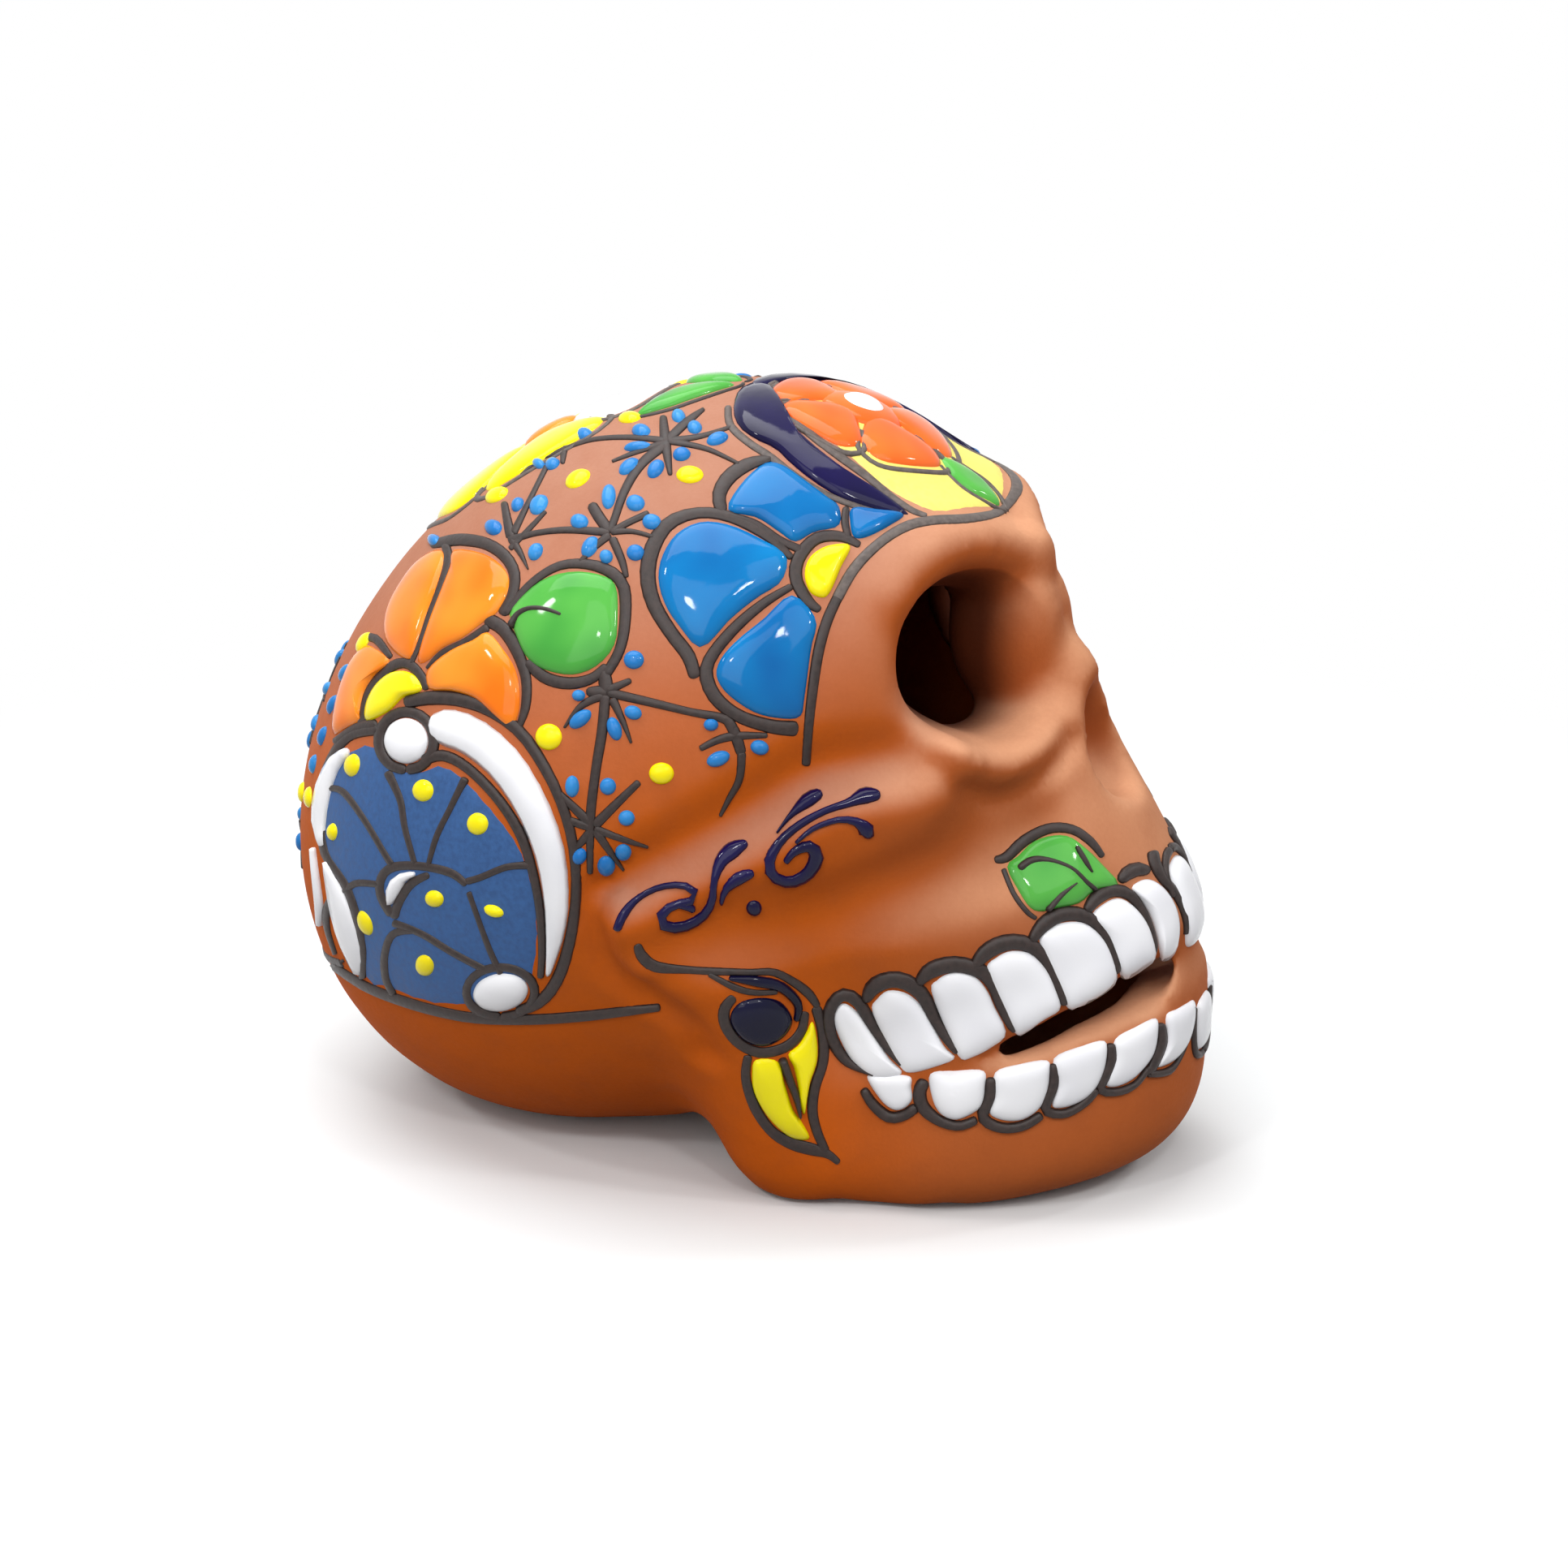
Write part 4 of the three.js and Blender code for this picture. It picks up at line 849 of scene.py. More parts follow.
# %% Teeth
UPPER_TEETH = [
    [(1041, 1236), (1057, 1247), (1074, 1271), (1096, 1300), (1112, 1315), (1093, 1321),
     (1073, 1319), (1050, 1303), (1034, 1279), (1027, 1256), (1031, 1241)],
    [(1094, 1220), (1116, 1223), (1134, 1237), (1148, 1260), (1164, 1286), (1177, 1298),
     (1152, 1307), (1124, 1313), (1110, 1308), (1092, 1282), (1074, 1245), (1080, 1231)],
    [(1182, 1197), (1203, 1204), (1217, 1221), (1226, 1241), (1240, 1268), (1221, 1283),
     (1198, 1293), (1183, 1294), (1168, 1270), (1147, 1221), (1155, 1207), (1166, 1200)],
    [(1247, 1171), (1271, 1175), (1290, 1194), (1301, 1217), (1307, 1238), (1286, 1250),
     (1263, 1263), (1251, 1265), (1236, 1241), (1215, 1196), (1228, 1179)],
    [(1320, 1135), (1341, 1139), (1361, 1158), (1372, 1182), (1377, 1206), (1357, 1223),
     (1334, 1231), (1317, 1234), (1307, 1218), (1280, 1161), (1297, 1141)],
    [(1376, 1106), (1393, 1113), (1410, 1132), (1420, 1155), (1426, 1180), (1412, 1189),
     (1396, 1200), (1384, 1202), (1375, 1181), (1362, 1153), (1345, 1129), (1357, 1115)],
    [(1394, 1094), (1404, 1085), (1416, 1083), (1429, 1090), (1440, 1103), (1448, 1120),
     (1452, 1138), (1451, 1153), (1447, 1167), (1439, 1176), (1430, 1177), (1428, 1163),
     (1423, 1143), (1415, 1125), (1405, 1109)],
]
LOWER_TEETH = [
    [(1068, 1326), (1092, 1324), (1121, 1326), (1123, 1340), (1124, 1355), (1114, 1366),
     (1100, 1367), (1084, 1354)],
    [(1146, 1323), (1177, 1319), (1212, 1319), (1214, 1340), (1210, 1362), (1195, 1374),
     (1176, 1380), (1158, 1372), (1148, 1352)],
    [(1226, 1321), (1255, 1311), (1290, 1306), (1294, 1322), (1290, 1348), (1280, 1367),
     (1260, 1380), (1237, 1381), (1219, 1372), (1224, 1350)],
    [(1298, 1304), (1331, 1289), (1361, 1282), (1364, 1302), (1357, 1328), (1344, 1348),
     (1324, 1361), (1304, 1366), (1296, 1361), (1302, 1335)],
    [(1374, 1280), (1399, 1265), (1424, 1254), (1427, 1270), (1422, 1296), (1409, 1316),
     (1392, 1332), (1372, 1340), (1361, 1334), (1371, 1304)],
    [(1437, 1250), (1450, 1243), (1462, 1236), (1471, 1232), (1472, 1248), (1468, 1270),
     (1460, 1290), (1447, 1306), (1433, 1314), (1424, 1314), (1432, 1294), (1436, 1272)],
]
UPPER_CROWN = 1.7
LOWER_CROWN = 1.4
TOOTH_RINGS = 18
# How much longer than its outline an upper tooth is below its middle
UPPER_BITE = 1.2
LOWER_BITE = 1
# The middle teeth in mm from the front: middle, width, height
UPPER_MIDDLE = ((0, 58.4), 12.2, 18)
LOWER_MIDDLE = ((0, 33.2), 10.6, 11.6)
FRONT_TOOTH_POINTS = 12
TOOTH_SIDE_POWER = 0.6


def squared(share):
    """A sine or cosine bent towards a straight side."""
    return math.copysign(abs(share) ** TOOTH_SIDE_POWER, share)


def front_tooth(paint, crown, middle, width, height):
    """A tooth seen from the front, with straight sides and round corners."""
    outline = []
    for angle in turns(FRONT_TOOTH_POINTS):
        across, upward = squared(math.cos(angle)), squared(math.sin(angle))
        outline.append((middle[0] + width / 2 * across, middle[1] + height / 2 * upward))
    pool(paint, front, outline, crown, TOOTH_RINGS)


def side_tooth(paint, crown, outline, bite):
    """A tooth by its outline in pixels, drawn longer by the bite below its middle."""
    middle = middle_of(outline)
    longer = []
    for right, down in outline:
        longer.append((right, max(down, middle[1] + bite * (down - middle[1]))))
    pool(paint, lips(middle), longer, crown, TOOTH_RINGS)


both_sides("upper_teeth", white_enamel, [
    (side_tooth, UPPER_CROWN, outline, UPPER_BITE) for outline in UPPER_TEETH
], numbered("upper_tooth", UPPER_TEETH))
middle_piece("upper_middle_tooth", white_enamel, [
    (front_tooth, UPPER_CROWN, *UPPER_MIDDLE)
], ["upper_tooth_middle"])
both_sides("lower_teeth", white_enamel, [
    (side_tooth, LOWER_CROWN, outline, LOWER_BITE) for outline in LOWER_TEETH
], numbered("lower_tooth", LOWER_TEETH))
middle_piece("lower_middle_tooth", white_enamel, [
    (front_tooth, LOWER_CROWN, *LOWER_MIDDLE)
])

# %% [markdown]
# The blue flower sits on the temple, cut off by the line around the face. Each petal is one deep
# pool between brush lines, so each is an outline of its own; the half-round yellow centre is
# another.

# %% The blue flower
BLUE_PETALS = {
    "back": [(810, 712), (816, 682), (834, 656), (864, 642), (900, 646), (940, 664), (970, 684),
         (964, 716), (932, 738), (900, 764), (864, 799), (836, 772), (818, 744)],
    "top": [(896, 628), (912, 596), (940, 571), (962, 571), (988, 588), (1020, 612), (1035, 625),
         (1034, 648), (1004, 656), (980, 668), (960, 656), (932, 638)],
    "foot": [(976, 732), (1006, 762), (1000, 800), (992, 860), (986, 884), (960, 886), (928, 878),
         (896, 856), (882, 834), (887, 812), (908, 788), (940, 762)],
    "small": [(1050, 626), (1084, 629), (1114, 634), (1096, 648), (1068, 662), (1052, 662),
         (1047, 644)],
}
BLUE_NODES = ["blue_petal_back", "blue_petal_top", "blue_petal_foot"]
BLUE_CENTRE = [
    (1048, 672), (1020, 672), (998, 686), (991, 708), (998, 730), (1014, 737), (1024, 728),
    (1036, 700),
]
PETAL_CROWN = 1.4

both_sides("blue_petals", blue_enamel, [
    (pool, photo, outline, PETAL_CROWN) for outline in BLUE_PETALS.values()
], BLUE_NODES)
both_sides("blue_flower_heart", yellow_enamel, [
    (pool, photo, BLUE_CENTRE, PETAL_CROWN)
], ["blue_flower_centre"])

# %% [markdown]
# The orange flower is behind the leaf and runs round towards the back of the head. Two petals face
# the viewer; the other two pass over the edge of what the photograph shows, and end where the
# round of the skull hides them.

# %% The orange flower
ORANGE_PETALS = [
    [(541, 676), (549, 690), (541, 722), (528, 758), (516, 795), (506, 813), (488, 806), (474, 786),
     (476, 752), (494, 716), (517, 688)],
    [(560, 676), (593, 680), (617, 694), (628, 712), (626, 733), (612, 756), (593, 769), (569, 787),
     (545, 799), (524, 817), (514, 813), (527, 769), (542, 730), (556, 694)],
    [(601, 778), (620, 799), (635, 823), (641, 850), (640, 877), (631, 897), (614, 886), (587, 862),
     (557, 852), (529, 850), (524, 832), (533, 817), (557, 799), (584, 787)],
    [(450, 795), (464, 799), (481, 814), (464, 832), (451, 853), (445, 880), (444, 889), (425, 899),
     (411, 905), (411, 880), (419, 848), (432, 815)],
]
ORANGE_CENTRE = [
    (452, 889), (450, 871), (461, 847), (479, 830), (497, 826), (512, 832), (521, 844), (517, 853),
    (497, 860), (479, 877),
]

orange_nodes = numbered("orange_petal", ORANGE_PETALS)
both_sides("orange_petals", orange_enamel, [
    (pool, photo, outline, PETAL_CROWN) for outline in ORANGE_PETALS
], orange_nodes)
both_sides("orange_flower_heart", yellow_enamel, [
    (pool, photo, ORANGE_CENTRE, PETAL_CROWN)
], ["orange_flower_centre"])

# %% [markdown]
# Three leaves a side: a round green one on the temple, a green one with veins on the lip, and a
# yellow one on the jaw that a dark vein parts in two.

# %% Leaves
TEMPLE_LEAF = [
    (627, 757), (645, 732), (673, 711), (708, 703), (743, 708), (760, 722), (762, 760), (758, 795),
    (736, 821), (708, 832), (680, 829), (659, 820), (646, 807), (636, 785),
]
LIP_LEAF = [
    (1240, 1068), (1254, 1054), (1272, 1037), (1295, 1029), (1318, 1030), (1340, 1046),
    (1360, 1066), (1379, 1090), (1350, 1097), (1331, 1113), (1305, 1119), (1282, 1124),
    (1268, 1118), (1255, 1099),
]
JAW_LEAF_BACK = [
    (931, 1305), (958, 1307), (966, 1331), (977, 1366), (988, 1382), (998, 1402), (986, 1405),
    (968, 1398), (945, 1375), (929, 1346), (926, 1322),
]
JAW_LEAF_FRONT = [
    (1001, 1258), (1006, 1275), (1007, 1305), (998, 1334), (994, 1358), (991, 1374), (985, 1362),
    (983, 1340), (978, 1316), (971, 1299), (984, 1287), (994, 1270),
]
LEAF_CROWN = 1.4

both_sides("green_leaves", green_enamel, [
    (pool, photo, outline, LEAF_CROWN) for outline in (TEMPLE_LEAF, LIP_LEAF)
], ["temple_leaf", "lip_leaf"])
both_sides("yellow_jaw_leaf", yellow_enamel, [
    (pool, photo, outline, LEAF_CROWN) for outline in (JAW_LEAF_BACK, JAW_LEAF_FRONT)
], ["jaw_leaf"])

# %% [markdown]
# Behind the ear is a fan: a flat slate-blue field, brushed and not poured, so it stays matt. White
# enamel crescents and two beads frame it, and yellow dots sit between the ribs. The field is a
# pool with almost no height and a square edge; its many rings let it follow the round of the head.

# %% The slate fan
FAN_FIELD = [
    (397, 995), (402, 958), (420, 932), (448, 915), (475, 925), (505, 952), (540, 941), (566, 953),
    (594, 981), (622, 1015), (642, 1045), (655, 1080), (664, 1125), (664, 1170), (655, 1210),
    (620, 1238), (573, 1241), (527, 1238), (485, 1222), (447, 1209), (443, 1156), (433, 1104),
    (412, 1074), (397, 1050),
]
FIELD_CROWN = 0.22
FIELD_RINGS = 40
FIELD_EDGE = 24
FAN_CRESCENT = [
    (529, 894, 34), (548, 896, 46), (582, 908, 48), (622, 942, 46), (655, 993, 42), (677, 1050, 38),
    (685, 1105, 32), (684, 1150, 24), (676, 1200, 6),
]
# Beads and dots: middle, width and height in pixels, lean in degrees
FAN_BEADS = [((501, 913), 55, 58, 0), ((617, 1222), 70, 48, -8)]
# Three crescents on the back, in mm from behind, each point with its width
FAN_BACK_CRESCENTS = [
    [(-50.5, 88, 1.5), (-47.5, 83, 4.5), (-46, 76, 6.5), (-46.5, 70, 5.5), (-49, 66, 1.5)],
    [(-50, 63.5, 1.5), (-52, 58.5, 5.5), (-52.5, 52.5, 7), (-52, 46.5, 6), (-50.5, 40, 1.5)],
    [(-45, 64, 1), (-45.5, 58, 2.4), (-45, 52, 2.8), (-42.5, 46, 1)],
]
FAN_HEART = [(513, 1076, 6), (497, 1081, 14), (487, 1094, 20), (482, 1114, 5)]
FAN_DOTS = [
    ((435, 943), 20, 30, 10), ((522, 974), 28, 29, 0), ((589, 1015), 28, 29, 0),
    ((411, 1025), 12, 23, 0), ((451, 1137), 17, 34, -22), ((536, 1107), 25, 22, 20),
    ((609, 1122), 27, 15, 20), ((524, 1189), 24, 28, -15),
]
CRESCENT_CROWN = 1.3
BEAD_CROWN = 1.9
FAN_DOT_CROWN = 1.2

both_sides("slate_fan", slate_paint, [
    (pool, photo, FAN_FIELD, FIELD_CROWN, FIELD_RINGS, FIELD_EDGE)
])
fan_nodes = ["medallion_crescent", "medallion_bead"]
both_sides("white_crescents", white_enamel, [
    (stroke, photo, FAN_CRESCENT, CRESCENT_CROWN),
    *((stroke, behind, path, CRESCENT_CROWN) for path in FAN_BACK_CRESCENTS),
    (stroke, photo, FAN_HEART, CRESCENT_CROWN),
    *((dot, photo, BEAD_CROWN, *bead) for bead in FAN_BEADS),
], fan_nodes)
both_sides("fan_dots", yellow_enamel, [
    (dot, photo, FAN_DOT_CROWN, *each) for each in FAN_DOTS
])

# %% [markdown]
# On the forehead a cobalt comma hugs a pale yellow field with a red-orange flower and a small
# leaf. The comma is traced through the photograph. The rest lies across the mirror line and is
# foreshortened there, so it is drawn in millimetres from above, where a flower is one petal turned
# five times.

# %% The forehead
BAND = [
    (904, 492), (912, 477), (932, 470), (948, 474), (953, 495), (964, 514), (986, 537), (1012, 560),
    (1042, 583), (1072, 604), (1100, 622), (1121, 635), (1098, 633), (1064, 625), (1030, 611),
    (1000, 592), (975, 572), (955, 553), (932, 542), (912, 528), (903, 511),
]
BAND_CROWN = 1.4
BAND_EDGE = 6
PALE_FIELD = [
    (0, -9), (-11, -12), (-17.5, -20), (-20.5, -30), (-21.5, -38), (-20.5, -44.5), (-11, -49),
    (0, -51), (11, -49), (20.5, -44.5), (21.5, -38), (20.5, -30), (17.5, -20), (11, -12),
]
FLOWER_CENTRE = Vector((0, -22))
FLOWER_RADIUS = 18
FLOWER_PETALS = 5
FLOWER_BED = 17
FLOWER_BED_CROWN = 1.7
FLOWER_HEART = 9.5
FLOWER_HEART_CROWN = 2.6
BROW_LEAF = [
    (0, -38.5), (3.6, -41.5), (4.4, -45.5), (2.6, -49), (0, -51), (-2.6, -49), (-4.4, -45.5),
    (-3.6, -41.5),
]
# A petal by shares of the flower's radius: along its length, to the side
PETAL_SHAPE = (
    (0.2, 0), (0.45, -0.32), (0.7, -0.51), (0.93, -0.4), (1, 0), (0.93, 0.4), (0.7, 0.51),
    (0.45, 0.32),
)


def petal(centre, radius, angle, margin=0.0):
    """The outline of one petal of a flower; a margin draws it larger all round."""
    length = Vector((math.cos(math.radians(angle)), math.sin(math.radians(angle))))
    side = Vector((-length.y, length.x))
    longer, wider = 1 + margin, 1 + 2 * margin
    outline = []
    for along_share, side_share in PETAL_SHAPE:
        place = length * along_share * longer + side * side_share * wider
        outline.append(tuple(centre + radius * place))
    return outline


def flower_angles(count, first=90):
    return [first + 360 * step / count for step in range(count)]


both_sides("forehead_crescent", cobalt_enamel, [
    (pool, photo, BAND, BAND_CROWN, POOL_RINGS, BAND_EDGE)
], ["forehead_band"])
middle_piece("forehead_field", pale_paint, [
    (pool, above, PALE_FIELD, FIELD_CROWN, FIELD_RINGS, FIELD_EDGE)
])
flower = [petal(FLOWER_CENTRE, FLOWER_RADIUS, angle) for angle in flower_angles(FLOWER_PETALS)]
middle_piece("forehead_flower", red_enamel, [
    *((pool, above, outline, PETAL_CROWN) for outline in flower),
    (dot, above, FLOWER_BED_CROWN, FLOWER_CENTRE, FLOWER_BED),
], ["forehead_flower"])
middle_piece("forehead_flower_heart", white_enamel, [
    (dot, above, FLOWER_HEART_CROWN, FLOWER_CENTRE, FLOWER_HEART)
])
middle_piece("forehead_leaf", green_enamel, [
    (pool, above, BROW_LEAF, LEAF_CROWN)
], ["forehead_leaf"])

# %% [markdown]
# On the crown the photograph shows only the rim of another flower, edge on: a white petal in
# front, a yellow one at each side, and two green leaves before it. Its far petals are a guess in
# the same style.

# %% The crown
CROWN_CENTRE = Vector((0, 45))
CROWN_RADIUS = 24
CROWN_PETALS = 5
CROWN_FIRST_PETAL = 270
CROWN_HEART = 12
CROWN_HEART_CROWN = 1.9
CROWN_LEAF = [
    (-15.5, 20), (-14, 14), (-9.5, 9), (-3.5, 4.5), (-1.2, 5), (-1.4, 10), (-4, 15.5), (-9, 19),
]

crown_angles = flower_angles(CROWN_PETALS, CROWN_FIRST_PETAL)
white_petal, *yellow_petals = [petal(CROWN_CENTRE, CROWN_RADIUS, angle) for angle in crown_angles]
middle_piece("crown_white_petals", white_enamel, [
    (pool, above, white_petal, PETAL_CROWN)
])
middle_piece("crown_yellow_petals", yellow_enamel, [
    (pool, above, outline, PETAL_CROWN) for outline in yellow_petals
])
middle_piece("crown_heart", orange_enamel, [
    (dot, above, CROWN_HEART_CROWN, CROWN_CENTRE, CROWN_HEART)
])
both_sides("crown_leaf", green_enamel, [(pool, above, CROWN_LEAF, LEAF_CROWN)])

# %% [markdown]
# Between the flowers the painter scattered asterisks, each with blue drops around it and a line
# running on to the next one. A drop is a bead of enamel squeezed from a tube, so it is round and
# high for its size. The marks on the back of the head are placed in millimetres from behind; the
# photograph shows only the first of them, on the edge.

# %% Drops and dots
# Each drop or dot: middle, width, height, lean in degrees
BLUE_DROPS = [
    ((836, 513), 18, 16, 0), ((856, 527), 19, 16, 0), ((884, 541), 29, 15, -18),
    ((840, 560), 23, 17, -10), ((808, 578), 18, 27, 40), ((775, 575), 30, 16, -35),
    ((786, 551), 36, 11, -6), ((790, 531), 24, 16, 0), ((718, 534), 24, 15, -10),
    ((672, 556), 15, 12, 0), ((664, 572), 16, 12, 0), ((681, 572), 20, 13, -30),
    ((638, 622), 13, 20, 35), ((664, 622), 20, 29, 38), ((608, 650), 22, 20, 0),
    ((660, 680), 17, 24, 30), ((750, 612), 18, 32, 6), ((783, 620), 24, 21, 0),
    ((714, 643), 23, 20, 0), ((803, 643), 24, 20, 0), ((727, 674), 19, 30, 32),
    ((747, 686), 17, 18, 0), ((783, 681), 23, 21, 0), ((781, 813), 26, 24, 0),
    ((713, 857), 17, 15, 0), ((715, 886), 33, 19, -38), ((757, 898), 18, 31, -18),
    ((780, 878), 23, 18, 20), ((705, 969), 18, 28, 0), ((749, 969), 21, 22, 0),
    ((772, 1008), 21, 20, 0), ((768, 1050), 21, 21, 0), ((747, 1067), 23, 26, 0),
    ((714, 1055), 18, 22, 20), ((876, 893), 19, 16, 0), ((885, 935), 31, 19, -22),
    ((936, 921), 24, 19, 15), ((535, 666), 14, 16, 40),
]
YELLOW_DOTS = [
    ((712, 590), 35, 20, -30), ((850, 585), 35, 22, 0), ((776, 515), 30, 13, -8),
    ((612, 610), 32, 16, -28), ((676, 908), 34, 34, 0), ((815, 953), 32, 28, 0),
]
BACK_DROPS = [
    ((-35, 99), 3, 4.4, 20), ((-37, 92.5), 3, 4.4, 0), ((-38.5, 86), 3, 4.4, 0),
    ((-38, 79.5), 3, 4.2, -10), ((-24.5, 91.5), 3, 4.4, 60), ((-20, 97), 3, 4.4, 20),
    ((-12.5, 96.5), 3, 4.4, -25), ((-8.5, 91), 3, 4.2, -60), ((-9, 84), 3, 4.2, 60),
    ((-13.5, 78.5), 3, 4.4, 25), ((-20.5, 78.5), 3, 4.4, -20), ((-25.5, 84), 3, 4.2, -60),
    ((-22, 62), 3, 4.2, 40), ((-28, 58), 3, 4.2, 0), ((-15, 59), 3, 4.2, -30),
    ((-19, 51), 3, 4.2, 10),
]
BACK_DOTS = [(-35.5, 106), (-39, 72.5), (-4.6, 72), (-30, 70), (-9, 50), (-4.6, 103)]
BACK_DOT = 4.6
DROP_CROWN = 1.1

both_sides("blue_drops", drop_enamel, [
    *((dot, photo, DROP_CROWN, *drop) for drop in BLUE_DROPS),
    *((dot, behind, DROP_CROWN, *drop) for drop in BACK_DROPS),
])
both_sides("yellow_dots", yellow_enamel, [
    *((dot, photo, DROP_CROWN, *each) for each in YELLOW_DOTS),
    *((dot, behind, DROP_CROWN, middle, BACK_DOT) for middle in BACK_DOTS),
])

# %% [markdown]
# Cobalt scrolls run along the cheekbone, and a dark comma closes the corner of the jaw. They were
# drawn in one sweep each with a round brush, so each is one stroke whose width follows the
# pressure of the hand.

# %% Scrolls
SCROLLS = [
    [(760, 1147, 8), (769, 1126, 10), (786, 1107, 7), (814, 1093, 7), (842, 1091, 8),
     (857, 1100, 9), (852, 1110, 9), (834, 1114, 9), (818, 1123, 11), (814, 1135, 12),
     (824, 1143, 12), (845, 1141, 11), (866, 1129, 10), (877, 1111, 9), (880, 1086, 8),
     (888, 1062, 14), (903, 1047, 18), (921, 1038, 8)],
    [(834, 1114, 8), (848, 1117, 9), (856, 1122, 7)],
    [(888, 1114, 4), (894, 1096, 8), (911, 1082, 14), (929, 1075, 8)],
    [(967, 1063, 6), (979, 1049, 9), (997, 1043, 13), (1006, 1056, 16), (996, 1076, 14),
     (974, 1087, 12), (953, 1080, 12), (948, 1061, 12), (962, 1036, 10), (987, 1015, 9),
     (1017, 999, 8), (1046, 989, 10), (1066, 980, 18), (1085, 980, 10)],
    [(980, 1039, 4), (1002, 1021, 6), (1033, 1010, 7), (1056, 1013, 10), (1068, 1024, 18),
     (1068, 1033, 14)],
    [(957, 1027, 2), (974, 1005, 6), (996, 985, 16), (1013, 976, 10)],
]
SCROLL_BEAD = ((929, 1119), 20)
JAW_BEAD = [
    (899, 1256), (910, 1236), (936, 1229), (962, 1234), (977, 1256), (966, 1278), (940, 1290),
    (914, 1280),
]
JAW_SWEEP = [(898, 1205, 6), (931, 1209, 14), (962, 1216, 14), (983, 1237, 12), (980, 1258, 6)]
SCROLL_CROWN = 0.8
SCROLL_PRESS = 1.2
SCROLL_BEAD_CROWN = 1.1
JAW_BEAD_CROWN = 1.4
JAW_SWEEP_CROWN = 0.9

both_sides("cheek_scrolls", cobalt_enamel, [
    *((stroke, photo, pressed(path, SCROLL_PRESS), SCROLL_CROWN) for path in SCROLLS),
    (dot, photo, SCROLL_BEAD_CROWN, *SCROLL_BEAD),
])
both_sides("jaw_comma", ink_enamel, [
    (pool, photo, JAW_BEAD, JAW_BEAD_CROWN),
    (stroke, photo, JAW_SWEEP, JAW_SWEEP_CROWN),
])

# %% [markdown]
# Last come the dark brush lines. They were drawn before the enamel, to keep the colours apart, and
# are thin and nearly matt. Each is a low stroke. The leaves' veins cross the enamel, so they are
# lifted by its height.

# %% Brush lines around the flowers and leaves
LINE_CROWN = 0.4
LINE_PRESS = 1.12
FLOWER_LINES = [
    [(976, 688, 8), (945, 660, 12), (900, 637, 13), (860, 632, 13), (824, 645, 16), (804, 675, 18),
     (798, 710, 18), (806, 745, 17), (827, 780, 16), (848, 808, 16), (857, 836, 14)],
    [(976, 722, 8), (940, 744, 11), (905, 774, 13), (877, 808, 14), (870, 832, 16), (882, 860, 16),
     (910, 882, 15), (950, 895, 16), (984, 898, 18)],
    [(890, 632, 14), (886, 610, 16), (898, 588, 17), (922, 572, 15), (952, 564, 8)],
    [(895, 634, 8), (930, 645, 9), (962, 666, 9), (988, 678, 10)],
    [(1060, 672, 8), (1035, 661, 12), (1005, 664, 14), (984, 688, 15), (981, 714, 15),
     (996, 741, 13), (1011, 752, 8)],
    [(1043, 624, 8), (1041, 643, 9), (1046, 664, 8)],
    [(548, 670, 10), (552, 688, 10), (542, 721, 9), (527, 760, 8), (515, 796, 7), (507, 818, 5)],
    [(530, 672, 8), (545, 668, 12), (569, 665, 14), (599, 670, 14), (622, 685, 14), (634, 707, 13),
     (631, 733, 12), (618, 758, 12)],
    [(602, 772, 10), (575, 790, 9), (545, 805, 8), (526, 824, 4)],
    [(598, 762, 16), (620, 775, 16), (637, 802, 14), (648, 835, 12), (648, 868, 11), (641, 892, 8),
     (635, 906, 6)],
    [(450, 785, 9), (464, 788, 10), (482, 811, 7)],
    [(447, 893, 12), (447, 868, 13), (461, 840, 12), (485, 820, 12), (503, 818, 12), (518, 832, 11),
     (527, 850, 10)],
    [(622, 757, 8), (652, 721, 9), (687, 698, 10), (722, 695, 12), (753, 705, 14), (769, 725, 14),
     (770, 767, 13), (763, 802, 12), (746, 832, 12)],
    [(648, 815, 12), (672, 835, 14), (701, 842, 14), (729, 836, 12), (748, 820, 10)],
    [(1225, 1059, 8), (1240, 1056, 12), (1262, 1036, 13), (1292, 1021, 12), (1321, 1022, 11),
     (1344, 1037, 10), (1359, 1056, 7)],
    [(1236, 1070, 6), (1249, 1101, 6), (1265, 1123, 6), (1277, 1132, 5)],
    [(922, 1300, 10), (919, 1328, 11), (930, 1364, 12), (951, 1394, 12), (976, 1409, 14),
     (1000, 1416, 14), (1020, 1422, 10), (1034, 1433, 7)],
    [(1005, 1240, 12), (1014, 1272, 13), (1014, 1308, 12), (1004, 1340, 12), (1001, 1369, 12),
     (1007, 1395, 11), (1018, 1420, 10)],
    [(785, 1163, 9), (791, 1178, 13), (808, 1191, 13), (848, 1195, 9), (885, 1197, 9),
     (925, 1198, 8), (953, 1198, 9), (976, 1209, 10), (996, 1224, 11), (1008, 1241, 8)],
    [(873, 1200, 6), (906, 1217, 8), (931, 1223, 7), (958, 1222, 6)],
    [(905, 1228, 10), (893, 1243, 13), (894, 1263, 13), (910, 1285, 12), (937, 1297, 12),
     (968, 1290, 12), (987, 1271, 11), (992, 1246, 10)],
]
LEAF_VEINS = [
    [(631, 774, 9), (641, 759, 8), (656, 752, 8), (676, 753, 9), (696, 760, 7)],
    [(963, 1303, 11), (972, 1328, 11), (981, 1352, 9), (986, 1375, 4)],
    [(1253, 1073, 13), (1269, 1062, 13), (1292, 1062, 10), (1318, 1071, 8), (1334, 1086, 8),
     (1348, 1097, 5)],
    [(1324, 1043, 7), (1334, 1062, 9), (1342, 1076, 3)],
    [(1288, 1122, 9), (1305, 1103, 8), (1324, 1088, 3)],
]

